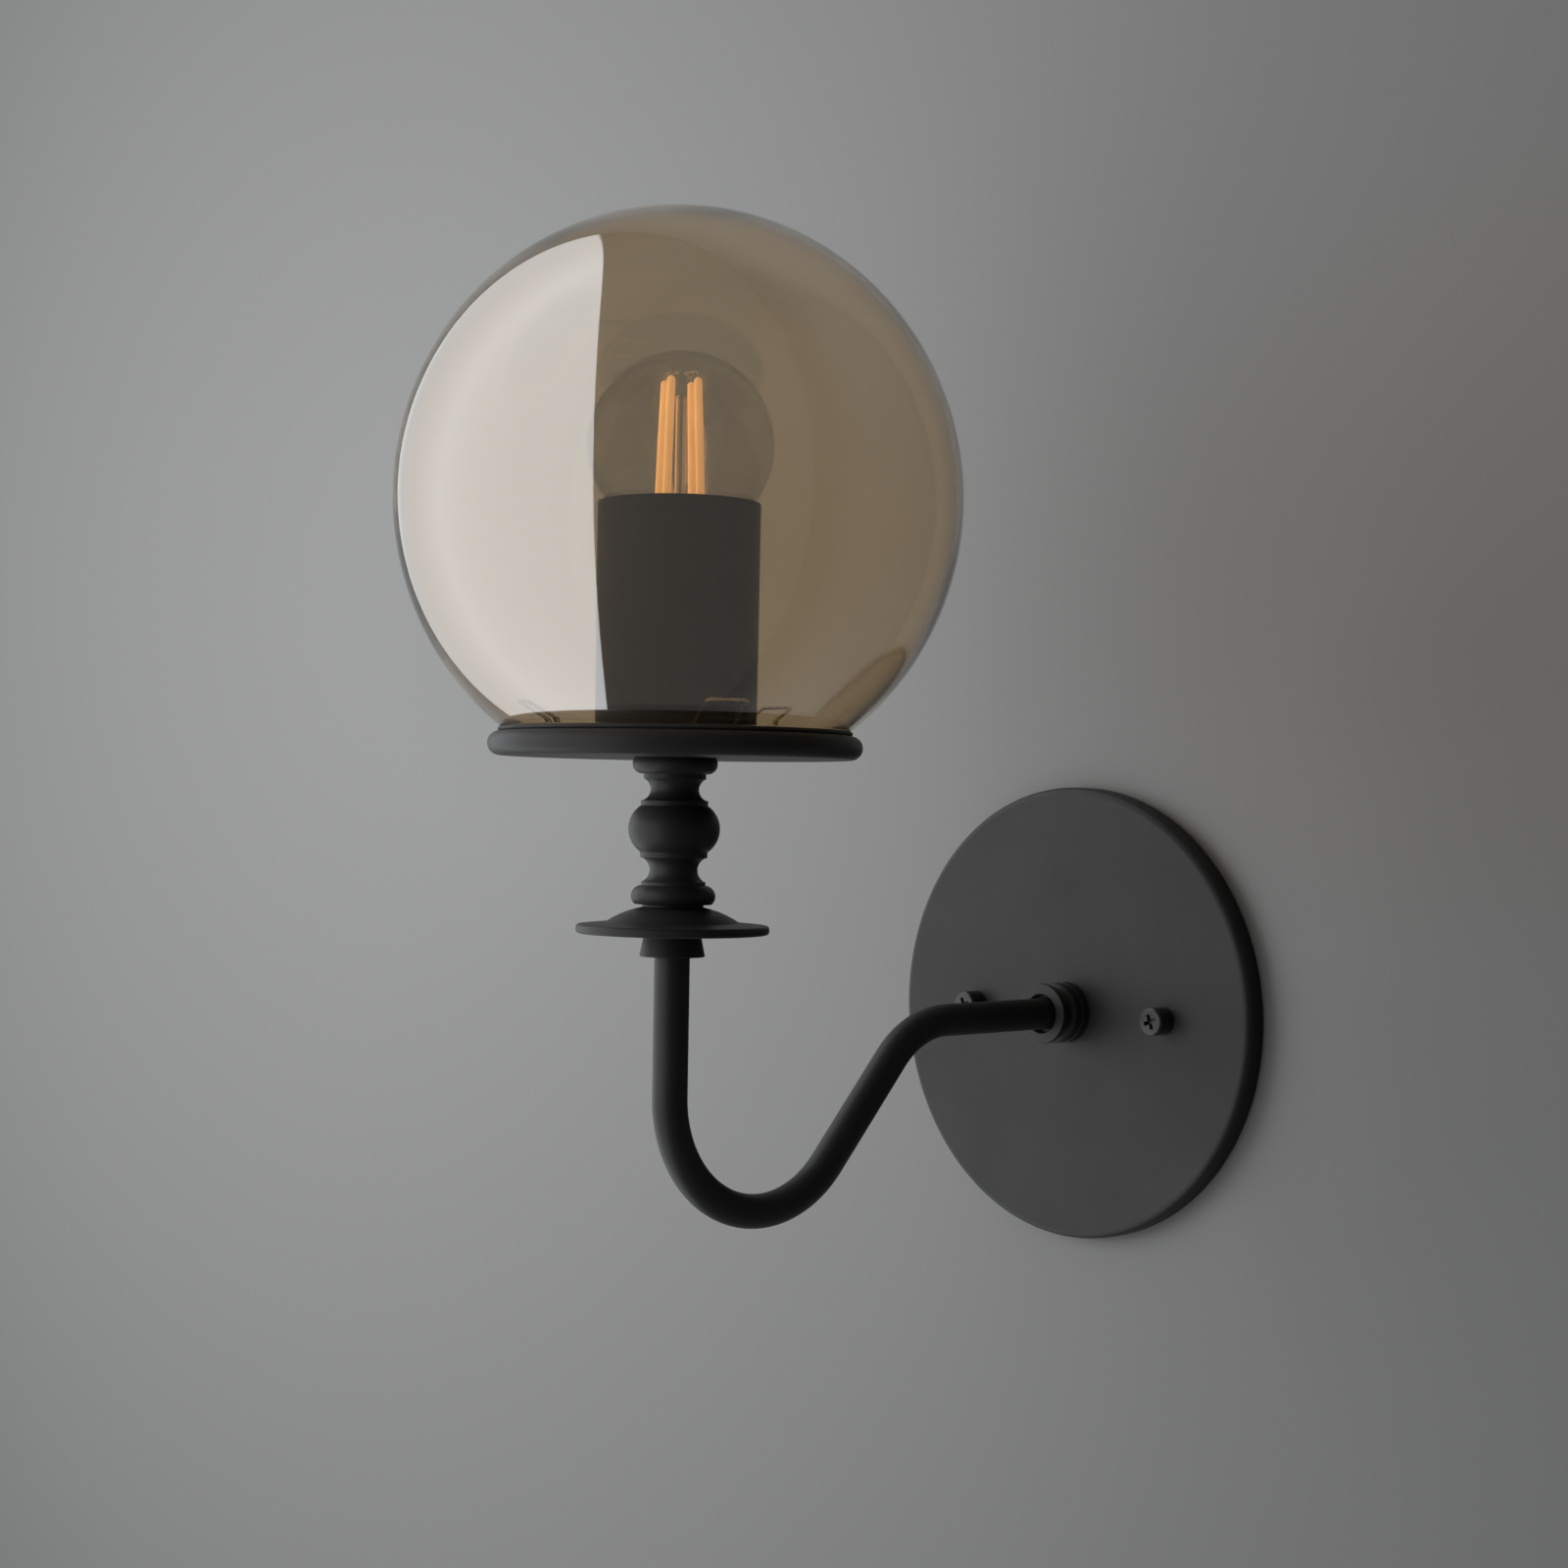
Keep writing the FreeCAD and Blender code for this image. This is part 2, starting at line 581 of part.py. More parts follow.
def lead(side):
    """Insulated lead through the arm, from the nipple's mouth to the socket's foot."""
    end_z = SOCKET_BODY_Z + LEAD_IN_SOCKET
    return swept(arm_route(-NIPPLE_BACK, end_z, x=side * LEAD_OFFSET), LEAD_R)


# ---- Stem -------------------------------------------------------------------------

def cone_coupling():
    """Cone that takes the tube from below and the stem pipe from above."""
    cone = turned([
        (TUBE_R + SLIP_FIT, CONE_BOTTOM_Z),
        (CONE_BOTTOM_R, CONE_BOTTOM_Z),
        (CONE_TOP_R, DRIP_BOTTOM_Z),
        (PIPE_R + SLIP_FIT, DRIP_BOTTOM_Z),
        (PIPE_R + SLIP_FIT, TUBE_END_Z),
        (TUBE_R + SLIP_FIT, TUBE_END_Z)])
    return on_stem(cone)


def drip_disc():
    """Flat brim and a low dome, hollow below round a hub that sits on the cone."""
    rim_top = DRIP_BOTTOM_Z + DRIP_RIM_THICK
    dome_foot = DRIP_BOTTOM_Z + DRIP_DOME_FOOT_RISE
    neck_start = DRIP_BOTTOM_Z + DRIP_NECK_START
    top = DRIP_BOTTOM_Z + DRIP_HEIGHT
    edge = DRIP_RIM_EDGE * ARC_INSET
    dome_mid_r = (DRIP_DOME_FOOT_R + DRIP_NECK_R) / 2 + DRIP_DOME_BULGE
    dome_mid_z = (dome_foot + neck_start) / 2 + DRIP_DOME_BULGE
    hollow_top = neck_start - DRIP_WALL
    disc = turned([
        (PIPE_R + SLIP_FIT, DRIP_BOTTOM_Z),
        (DRIP_HUB_R, DRIP_BOTTOM_Z),
        (DRIP_HUB_R, hollow_top),
        (dome_mid_r, dome_mid_z - DRIP_WALL, DRIP_SEAT_R, DRIP_BOTTOM_Z),
        (DRIP_R - DRIP_RIM_EDGE, DRIP_BOTTOM_Z),
        (DRIP_R - edge, DRIP_BOTTOM_Z + edge, DRIP_R, DRIP_BOTTOM_Z + DRIP_RIM_EDGE),
        (DRIP_R, rim_top - DRIP_RIM_EDGE),
        (DRIP_R - edge, rim_top - edge, DRIP_R - DRIP_RIM_EDGE, rim_top),
        (DRIP_DOME_FOOT_R, dome_foot),
        (dome_mid_r, dome_mid_z, DRIP_NECK_R, neck_start),
        (DRIP_NECK_R, top),
        (PIPE_R + SLIP_FIT, top)])
    return on_stem(disc)


def baluster():
    """Turned stem: ring, cove, fillet, ball, fillet, cove, ring, drilled for the pipe."""
    foot_ring_top = BALUSTER_Z + FOOT_RING_HEIGHT
    lower_cove = foot_ring_top + COVE_SHOULDER_HEIGHT
    lower_fillet = lower_cove + LOWER_COVE_HEIGHT
    ball_foot = lower_fillet + FILLET_HEIGHT
    ball_top = ball_foot + BALL_HEIGHT
    upper_cove = ball_top + FILLET_HEIGHT
    shoulder = upper_cove + UPPER_COVE_HEIGHT
    top_ring = shoulder + TOP_SHOULDER_HEIGHT
    lip = (FILLET_R - COVE_SHOULDER_R) / 2
    outline = [
        (PIPE_R + SLIP_FIT, BALUSTER_Z),
        (FOOT_RING_BASE_R, BALUSTER_Z),
        (FOOT_RING_R, BALUSTER_Z + FOOT_RING_HEIGHT / 2, COVE_SHOULDER_R + lip, foot_ring_top),
        (COVE_SHOULDER_R, foot_ring_top),
        (COVE_SHOULDER_R, lower_cove),
        (LOWER_COVE_R, lower_cove + LOWER_COVE_HEIGHT / 2, COVE_SHOULDER_R, lower_fillet),
        (FILLET_R, lower_fillet),
        (FILLET_R, ball_foot),
        (BALL_R, ball_foot + BALL_HEIGHT / 2, FILLET_R + lip, ball_top),
        (FILLET_R, ball_top),
        (FILLET_R, upper_cove),
        (COVE_SHOULDER_R, upper_cove),
        (UPPER_COVE_R, upper_cove + UPPER_COVE_HEIGHT / 2, TOP_SHOULDER_R - lip, shoulder),
        (TOP_SHOULDER_R, shoulder),
        (TOP_SHOULDER_R, top_ring),
        (TOP_RING_R, top_ring + TOP_RING_WIDEST_RISE, TOP_RING_FACE_R, TRAY_BOTTOM_Z),
        (PIPE_R + SLIP_FIT, TRAY_BOTTOM_Z)]
    return on_stem(turned(outline))


def stem_pipe():
    """Threaded pipe that clamps the whole stack from the cone to the cup's nut."""
    pipe = rod(PIPE_R, STEM_PIPE_Z, STEM_PIPE_TOP_Z)
    return on_stem(pipe.cut(rod(PIPE_BORE_R, STEM_PIPE_Z - OVERCUT, STEM_PIPE_TOP_Z + OVERCUT)))


def clip_place(index):
    """Angle of one spring wire round the stem, in degrees."""
    return CLIP_FIRST_ANGLE + index * 360 / CLIP_COUNT


def globe_tray():
    """Round tray with a fully rounded rim, drilled for the pipe and the spring wires."""
    half = TRAY_THICK / 2
    tray = turned([
        (PIPE_R + SLIP_FIT, TRAY_BOTTOM_Z),
        (TRAY_R - half, TRAY_BOTTOM_Z),
        (TRAY_R, TRAY_BOTTOM_Z + half, TRAY_R - half, TRAY_TOP_Z),
        (PIPE_R + SLIP_FIT, TRAY_TOP_Z)])
    for index in range(CLIP_COUNT):
        for side in (-1, 1):
            hole = rod(CLIP_WIRE_R + SLIP_FIT, TRAY_TOP_Z - CLIP_ROOT_DEPTH - FACE_GAP,
                       TRAY_TOP_Z + OVERCUT, x=CLIP_FOOT_RADIUS, y=side * CLIP_WIDTH / 2)
            hole.rotate(ORIGIN, UP, clip_place(index))
            tray = tray.cut(hole)
    return on_stem(tray)


def globe_gasket():
    """Soft ring between the tray and the glass."""
    inner = GASKET_R - GASKET_WIDTH
    round_r = GASKET_THICK / 2
    ring = turned([
        (inner, TRAY_TOP_Z),
        (GASKET_R - round_r, TRAY_TOP_Z),
        (GASKET_R, TRAY_TOP_Z + round_r, GASKET_R - round_r, GLASS_Z),
        (inner, GLASS_Z)])
    return on_stem(ring)


# ---- Globe and its springs --------------------------------------------------------

def globe_radius(height, inset=0.0):
    """Radius of the globe's outline at a height, less an inset."""
    share = (height - GLOBE_CENTRE_Z) / (GLOBE_HALF_HEIGHT - inset)
    return (GLOBE_R - inset) * math.sqrt(1 - share * share)


def egg(half_width, half_height, centre_z):
    """A closed solid turned from half an upright ellipse."""
    foot = point(0, centre_z - half_height)
    crown = point(0, centre_z + half_height)
    side = point(half_width, centre_z)
    middle = point(0, centre_z)
    if half_height > half_width:
        ellipse = Part.Ellipse(crown, side, middle)
        curves = [Part.ArcOfEllipse(ellipse, ellipse.parameter(crown), ellipse.parameter(foot))]
    else:
        ellipse = Part.Ellipse(side, crown, middle)
        lower = Part.ArcOfEllipse(ellipse, ellipse.parameter(foot), ellipse.parameter(side))
        upper = Part.ArcOfEllipse(ellipse, ellipse.parameter(side), ellipse.parameter(crown))
        curves = [lower.toBSpline(), upper.toBSpline()]
    curves.append(Part.LineSegment(crown, foot))
    face = Part.Face(Part.Wire([curve.toShape() for curve in curves]))
    return face.revolve(ORIGIN, UP, 360)


def glass_globe():
    """Blown globe, slightly taller than wide, open below."""
    outer = egg(GLOBE_R, GLOBE_HALF_HEIGHT, GLOBE_CENTRE_Z)
    inner = egg(GLOBE_R - GLOBE_WALL, GLOBE_HALF_HEIGHT - GLOBE_WALL, GLOBE_CENTRE_Z)
    shell = outer.cut(inner)
    below = rod(GLOBE_R * 2, GLASS_Z - 3 * GLOBE_HALF_HEIGHT, GLASS_Z)
    return on_stem(shell.cut(below))


def spring_clip(index):
    """Wire bent into a leaning hoop, with both ends set in the tray."""
    mouth_r = globe_radius(GLASS_Z, GLOBE_WALL)
    top_r = mouth_r - CLIP_GLASS_GAP - CLIP_WIRE_R
    top_z = TRAY_TOP_Z + CLIP_RISE
    half = CLIP_WIDTH / 2

    def at(radius, across, height):
        return FreeCAD.Vector(radius, across, height)

    corners = [
        at(CLIP_FOOT_RADIUS, -half, TRAY_TOP_Z - CLIP_ROOT_DEPTH),
        at(CLIP_FOOT_RADIUS, -half, TRAY_TOP_Z + CLIP_CORNER_R),
        at(top_r, -half, top_z),
        at(top_r, half, top_z),
        at(CLIP_FOOT_RADIUS, half, TRAY_TOP_Z + CLIP_CORNER_R),
        at(CLIP_FOOT_RADIUS, half, TRAY_TOP_Z - CLIP_ROOT_DEPTH)]
    wire = rounded_route(corners, CLIP_CORNER_R)
    circle = Part.Circle(corners[0], UP, CLIP_WIRE_R)
    clip = wire.makePipe(Part.Face(Part.Wire(circle.toShape())))
    clip.rotate(ORIGIN, UP, clip_place(index))
    return on_stem(clip)


def rounded_route(corners, radius):
    """Straight runs joined by tangent arcs of one radius."""
    edges = []
    here = corners[0]
    for before, corner, after in zip(corners, corners[1:], corners[2:]):
        back = (before - corner).normalize()
        ahead = (after - corner).normalize()
        half_angle = back.getAngle(ahead) / 2
        setback = radius / math.tan(half_angle)
        start = corner + back * setback
        end = corner + ahead * setback
        centre = corner + (back + ahead).normalize() * (radius / math.sin(half_angle))
        middle = centre + (corner - centre).normalize() * radius
        edges.append(Part.LineSegment(here, start).toShape())
        edges.append(Part.Arc(start, middle, end).toShape())
        here = end
    edges.append(Part.LineSegment(here, corners[-1]).toShape())
    return Part.Wire(edges)


# ---- Socket -----------------------------------------------------------------------

def socket_cup():
    """Deep spun cup with a rounded foot, open above."""
    bend = CUP_CORNER_R * ARC_INSET
    inner_corner = CUP_CORNER_R - CUP_WALL
    inner_bend = inner_corner * ARC_INSET
    top = TRAY_TOP_Z + CUP_HEIGHT
    inner_foot_r = CUP_FOOT_R - CUP_WALL
    cup = turned([
        (PIPE_R + SLIP_FIT, TRAY_TOP_Z),
        (CUP_FOOT_R - CUP_CORNER_R, TRAY_TOP_Z),
        (CUP_FOOT_R - bend, TRAY_TOP_Z + bend, CUP_FOOT_R, TRAY_TOP_Z + CUP_CORNER_R),
        (CUP_R, top),
        (CUP_R - CUP_WALL, top),
        (inner_foot_r, CUP_FLOOR_Z + inner_corner),
        (inner_foot_r - inner_bend, CUP_FLOOR_Z + inner_bend,
         inner_foot_r - inner_corner, CUP_FLOOR_Z),
        (PIPE_R + SLIP_FIT, CUP_FLOOR_Z)])
    return on_stem(cup)


def cup_washer():
    """Flat washer on the cup's floor."""
    ring = rod(CUP_WASHER_R, CUP_FLOOR_Z, CUP_NUT_Z)
    return on_stem(ring.cut(rod(PIPE_R + WASHER_HOLE_GAP, CUP_FLOOR_Z - OVERCUT, CUP_NUT_Z + OVERCUT)))


def cup_nut():
    """Hexagonal nut that clamps the stack."""
    return on_stem(chamfered_nut(NUT_ACROSS_FLATS, PIPE_R + SLIP_FIT, CUP_NUT_Z, CUP_NUT_TOP_Z))


def socket_cap():
    """Metal cap with a threaded hub that screws onto the stem pipe."""
    inner_r = SOCKET_CAP_R - SOCKET_CAP_WALL
    floor_top = SOCKET_CAP_Z + SOCKET_CAP_WALL
    hub_top = SOCKET_CAP_Z + SOCKET_CAP_HUB_HEIGHT
    cap = turned([
        (PIPE_R + SLIP_FIT, SOCKET_CAP_Z),
        (SOCKET_CAP_R - SOCKET_CAP_WALL, SOCKET_CAP_Z),
        (SOCKET_CAP_R, SOCKET_CAP_Z + SOCKET_CAP_WALL),
        (SOCKET_CAP_R, SOCKET_BODY_Z),
        (inner_r, SOCKET_BODY_Z),
        (inner_r, floor_top),
        (SOCKET_CAP_HUB_R, floor_top),
        (SOCKET_CAP_HUB_R, hub_top),
        (PIPE_R + SLIP_FIT, hub_top)])
    return on_stem(cap)


def socket_body():
    """Moulded insulating body: a floor with two lead holes and a ribbed wall round a well."""
    body = rod(SOCKET_BODY_R, SOCKET_BODY_Z, SOCKET_TOP_Z)
    body = body.cut(rod(SOCKET_WELL_R, SOCKET_FLOOR_Z, SOCKET_TOP_Z + OVERCUT))
    rib_bottom = SOCKET_BODY_Z + SOCKET_FLOOR
    for index in range(SOCKET_RIB_COUNT):
        rib = rod(SOCKET_RIB_R, rib_bottom, SOCKET_TOP_Z - 2 * SOCKET_RIB_R, x=SOCKET_BODY_R)
        rib.rotate(ORIGIN, UP, index * 360 / SOCKET_RIB_COUNT)
        body = body.fuse(rib)
    body = body.cut(rod(RIVET_R + SLIP_FIT, SOCKET_BODY_Z - OVERCUT, SOCKET_FLOOR_Z + OVERCUT,
                        y=SOCKET_CAP_HUB_R))
    for side in (-1, 1):
        hole = rod(LEAD_R + SLIP_FIT, SOCKET_BODY_Z - OVERCUT, SOCKET_BODY_Z + LEAD_IN_SOCKET + FACE_GAP,
                   x=side * LEAD_OFFSET)
        body = body.cut(hole)
    return on_stem(body)


def socket_shell():
    """Brass screw shell lining the socket's well."""
    bottom = SOCKET_FLOOR_Z
    top = SOCKET_TOP_Z - SHELL_DROP
    shell = rod(SOCKET_SHELL_R + SHELL_WALL, bottom, top)
    return on_stem(shell.cut(rod(SOCKET_SHELL_R, bottom - OVERCUT, top + OVERCUT)))


def centre_contact():
    """Bent leaf that the bulb's tip presses on, riveted at its foot."""
    foot_y = SOCKET_CAP_HUB_R
    half = CONTACT_WIDTH / 2
    low = SOCKET_FLOOR_Z
    high = CONTACT_TOP_Z
    profile = [
        (foot_y + half, low),
        (foot_y + half, low + CONTACT_THICK),
        (foot_y - half, low + CONTACT_THICK),
        (half, high),
        (-half, high),
        (-half, high - CONTACT_THICK),
        (half - CONTACT_THICK, high - CONTACT_THICK),
        (foot_y - half - CONTACT_THICK, low)]
    corners = [FreeCAD.Vector(-half, y, z) for y, z in profile]
    side = Part.Face(Part.makePolygon(corners + corners[:1]))
    leaf = side.extrude(FreeCAD.Vector(CONTACT_WIDTH, 0, 0))
    leaf = leaf.cut(rod(RIVET_R + SLIP_FIT, low - OVERCUT, high + OVERCUT, y=foot_y))
    return on_stem(leaf)


def contact_rivet():
    """Rivet through the leaf and the socket's floor."""
    seat = SOCKET_FLOOR_Z + CONTACT_THICK
    shank = rod(RIVET_R, SOCKET_BODY_Z, seat, y=SOCKET_CAP_HUB_R)
    head = rod(RIVET_HEAD_R, seat, seat + RIVET_HEAD_HEIGHT, y=SOCKET_CAP_HUB_R)
    return on_stem(shank.fuse(head).removeSplitter())


# ---- Bulb -------------------------------------------------------------------------

def bulb_outline(inset, bottom):
    """Half outline of the bulb: a straight neck, a hollow curve and the ball, all tangent."""
    ball_r = BULB_R - inset
    neck_r = BULB_NECK_R - inset
    hollow_r = BULB_HOLLOW_R + inset
    half_angle = math.radians(BULB_NECK_ANGLE / 2)
    crown_angle = math.pi / 8
    return [
        (0, bottom),
        (neck_r, bottom),
        (neck_r, BULB_NECK_TOP_Z),
        (neck_r + hollow_r * (1 - math.cos(half_angle)),
         BULB_NECK_TOP_Z + hollow_r * math.sin(half_angle),
         ball_r * BULB_NECK_COSINE, BULB_CENTRE_Z - ball_r * BULB_NECK_SINE),
        (ball_r, BULB_CENTRE_Z, ball_r * HALF_ROOT, BULB_CENTRE_Z + ball_r * HALF_ROOT),
        (ball_r * math.sin(crown_angle), BULB_CENTRE_Z + ball_r * math.cos(crown_angle),
         0, BULB_CENTRE_Z + ball_r)]


def bulb_envelope():
    """Thin clear glass, open at the neck where it is cemented into the screw shell."""
    glass = turned(bulb_outline(0, BULB_GLASS_FOOT_Z))
    return on_stem(glass.cut(turned(bulb_outline(BULB_GLASS, BULB_GLASS_FOOT_Z - OVERCUT))))


def bulb_screw_shell():
    """Metal screw shell of the bulb; its thread is left plain."""
    foot_r = INSULATOR_TOP_R
    inner = BULB_SCREW_R - BULB_SCREW_WALL
    shoulder = SCREW_SHELL_Z + (BULB_SCREW_R - foot_r)
    shell = turned([
        (foot_r - BULB_SCREW_WALL, SCREW_SHELL_Z),
        (foot_r, SCREW_SHELL_Z),
        (BULB_SCREW_R, shoulder),
        (BULB_SCREW_R, SCREW_SHELL_TOP_Z),
        (inner, SCREW_SHELL_TOP_Z),
        (inner, shoulder)])
    return on_stem(shell)


def bulb_insulator():
    """Glass button between the screw shell and the tip."""
    button = turned([
        (0, INSULATOR_Z),
        (INSULATOR_FOOT_R, INSULATOR_Z),
        (INSULATOR_FLANK_R, INSULATOR_Z + INSULATOR_FLANK_RISE, INSULATOR_TOP_R, SCREW_SHELL_Z),
        (0, SCREW_SHELL_Z)])
    return on_stem(button)


def bulb_tip():
    """Centre contact of the bulb: a low solder button."""
    flank_r = (TIP_FACE_R + TIP_R) / 2 + TIP_BULGE
    tip = turned([
        (0, TIP_Z),
        (TIP_FACE_R, TIP_Z),
        (flank_r, TIP_Z + TIP_HEIGHT / 2, TIP_R, INSULATOR_Z),
        (0, INSULATOR_Z)])
    return on_stem(tip)


def bulb_mount():
    """Glass mount: a flare sealed in the neck that narrows to a thin rod."""
    foot = BULB_GLASS_FOOT_Z
    seal_r = BULB_NECK_R - BULB_GLASS
    top = BULB_TOP_Z - MOUNT_TOP_BELOW_BULB_TOP
    mount = turned([
        (0, foot),
        (seal_r, foot),
        (seal_r, foot + MOUNT_SEAL_HEIGHT),
        (MOUNT_FLARE_MID_R, foot + MOUNT_FLARE_MID_RISE, MOUNT_ROD_R, foot + MOUNT_FLARE_HEIGHT),
        (MOUNT_ROD_R, top - MOUNT_ROD_R),
        (MOUNT_ROD_R * HALF_ROOT, top - MOUNT_ROD_R * ARC_INSET, 0, top)])
    return on_stem(mount)


def filament_ends(index):
    """Foot and top of one filament, which leans in a little as it rises."""
    angle = math.radians(FILAMENT_FIRST_ANGLE + index * 360 / FILAMENT_COUNT)
    top_z = BULB_TOP_Z - FILAMENT_TOP_BELOW_BULB_TOP
    around = FreeCAD.Vector(math.cos(angle), math.sin(angle), 0)
    foot = around * FILAMENT_RING_FOOT_R + FreeCAD.Vector(0, 0, top_z - FILAMENT_LENGTH)
    top = around * FILAMENT_RING_TOP_R + FreeCAD.Vector(0, 0, top_z)
    return foot, top


def led_filaments():
    """Straight coated rods round the mount, with domed ends."""
    rods = []
    for index in range(FILAMENT_COUNT):
        foot, top = filament_ends(index)
        along = top - foot
        body = Part.makeCylinder(FILAMENT_R, along.Length, foot, along)
        for end in (foot, top):
            body = body.fuse(Part.makeSphere(FILAMENT_R, end))
        rods.append(on_stem(body.removeSplitter()))
    return rods


def filament_supports():
    """Wires that hold each filament to the glass mount, at its foot and at its top."""
    wires = []
    for index in range(FILAMENT_COUNT):
        foot, top = filament_ends(index)
        for end, lift in ((foot, -1), (top, 1)):
            start = end + FreeCAD.Vector(0, 0, lift * (FILAMENT_R + FACE_GAP / 2))
            inward = FreeCAD.Vector(-start.x, -start.y, 0).normalize()
            knee = start + FreeCAD.Vector(0, 0, lift * SUPPORT_RISE)
            reach = math.hypot(knee.x, knee.y) - MOUNT_ROD_R - FACE_GAP / 2
            corners = [start, knee, knee + inward * reach]
            route = rounded_route(corners, SUPPORT_BEND_R)
            circle = Part.Circle(start, FreeCAD.Vector(0, 0, lift), SUPPORT_WIRE_R)
            wires.append(on_stem(route.makePipe(Part.Face(Part.Wire(circle.toShape())))))
    return wires


# ---- Build ------------------------------------------------------------------------

def main():
    os.makedirs("parts", exist_ok=True)
    save("wall_canopy", wall_canopy())
    save("mounting_bracket", mounting_bracket())
    save("canopy_screw_left", canopy_screw(-1))
    save("canopy_screw_right", canopy_screw(1))
    save("ground_screw", ground_screw())
    save("arm_nipple", arm_nipple())
    save("canopy_lock_washer", lock_washer())
    save("canopy_nut", canopy_nut())
    save("wall_collar", wall_collar())
    save("arm_tube", arm_tube())
    save("live_lead", lead(-1))
    save("neutral_lead", lead(1))
    save("cone_coupling", cone_coupling())
    save("drip_disc", drip_disc())
    save("baluster", baluster())
    save("stem_pipe", stem_pipe())
    save("globe_tray", globe_tray())
    save("globe_gasket", globe_gasket())
    for index in range(CLIP_COUNT):
        save("spring_clip_" + str(index + 1), spring_clip(index))
    save("glass_globe", glass_globe())
    save("socket_cup", socket_cup())
    save("cup_washer", cup_washer())
    save("cup_nut", cup_nut())
    save("socket_cap", socket_cap())
    save("socket_body", socket_body())
    save("socket_shell", socket_shell())
    save("centre_contact", centre_contact())
    save("contact_rivet", contact_rivet())
    save("bulb_envelope", bulb_envelope())
    save("bulb_screw_shell", bulb_screw_shell())
    save("bulb_insulator", bulb_insulator())
    save("bulb_tip", bulb_tip())
    save("bulb_mount", bulb_mount())
    save("led_filaments", *led_filaments())
    save("filament_supports", *filament_supports())


main()
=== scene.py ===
import json
import math
import bmesh
import bpy
from mathutils import Matrix, Vector

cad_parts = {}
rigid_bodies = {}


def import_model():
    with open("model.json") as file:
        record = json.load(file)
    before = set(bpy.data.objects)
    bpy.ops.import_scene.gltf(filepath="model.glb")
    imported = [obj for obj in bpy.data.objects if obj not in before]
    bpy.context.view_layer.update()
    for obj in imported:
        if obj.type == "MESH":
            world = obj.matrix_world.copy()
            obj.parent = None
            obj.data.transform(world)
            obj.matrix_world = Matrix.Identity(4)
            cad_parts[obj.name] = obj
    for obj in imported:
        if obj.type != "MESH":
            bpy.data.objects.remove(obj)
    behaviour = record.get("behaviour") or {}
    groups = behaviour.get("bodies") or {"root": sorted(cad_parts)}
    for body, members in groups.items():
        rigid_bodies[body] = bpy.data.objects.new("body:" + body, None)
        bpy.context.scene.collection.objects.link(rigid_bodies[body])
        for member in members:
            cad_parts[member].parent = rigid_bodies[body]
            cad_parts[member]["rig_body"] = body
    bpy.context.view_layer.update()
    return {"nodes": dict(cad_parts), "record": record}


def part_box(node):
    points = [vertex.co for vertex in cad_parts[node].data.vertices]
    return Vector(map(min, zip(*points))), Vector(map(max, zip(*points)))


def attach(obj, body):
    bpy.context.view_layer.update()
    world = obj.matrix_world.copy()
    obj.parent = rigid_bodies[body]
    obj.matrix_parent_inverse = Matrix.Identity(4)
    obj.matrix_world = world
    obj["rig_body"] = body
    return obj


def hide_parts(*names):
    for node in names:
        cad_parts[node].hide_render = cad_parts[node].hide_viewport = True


# Globe wall sconce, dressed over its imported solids. Outlines are in millimetres, in the
# solids' own frame: +Z up, +Y into the wall, the arm towards -Y. The scene is in metres.

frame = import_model()
NODES = frame["nodes"]
SLOT_OF = {part["node"]: part["material_slot"] for part in frame["record"]["subparts"]}
MM = 0.001

# ---- Sizes read from the solids ---------------------------------------------------------


def stem_sizes(node):
    """Radius, foot and top of a node that stands on the stem, in millimetres."""
    low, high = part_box(node)
    return (high.x - low.x) / 2 / MM, low.z / MM, high.z / MM


def wall_sizes(node):
    """Radius, back and front of a node that stands out of the wall, in millimetres."""
    low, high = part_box(node)
    return (high.x - low.x) / 2 / MM, -high.y / MM, -low.y / MM


TUBE_R = 4.7625            # 3/8 inch tube
ARM_REACH = -sum(corner.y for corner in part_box("baluster")) / 2 / MM
ARM_DROP = -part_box("arm_tube")[0].z / MM - TUBE_R
ON_STEM = Matrix.Translation((0, -ARM_REACH * MM, 0)) @ Matrix.Scale(MM, 4)
ON_WALL = Matrix.Rotation(math.radians(90), 4, "X") @ Matrix.Scale(MM, 4)
IN_FRAME = Matrix.Scale(MM, 4)

PIPE_R = 4.85              # threaded lamp pipe
PIPE_BORE_R = 3.45
FINE_PITCH = 0.94          # its thread
FINE_DEPTH = 0.3
SCREW_PITCH = 0.79         # thread of the canopy screws
SCREW_DEPTH = 0.28
BULB_PITCH = 3.629         # thread of the bulb and its socket
SLIP_FIT = 0.05            # play between pieces that slide together

SOFT_EDGE = 0.25           # radius of the small arc on a sharp turned edge
SOFT_TURN = math.radians(20)
SOFT_STEP = math.radians(22.5)
SOFT_REACH = 0.4           # share of a short run that a small arc may take
ARC_STEP = math.radians(5)
BEND_STEP = math.radians(3)
POINTS_PER_TURN = 8        # along a thread
THREAD_FADE = 1.3          # share of its depth that a thread gains a turn at its ends
SHARP_ANGLE = math.radians(32)
TINY = 1e-6
ROOT_HALF = math.sqrt(0.5)


# ---- Outlines ---------------------------------------------------------------------------

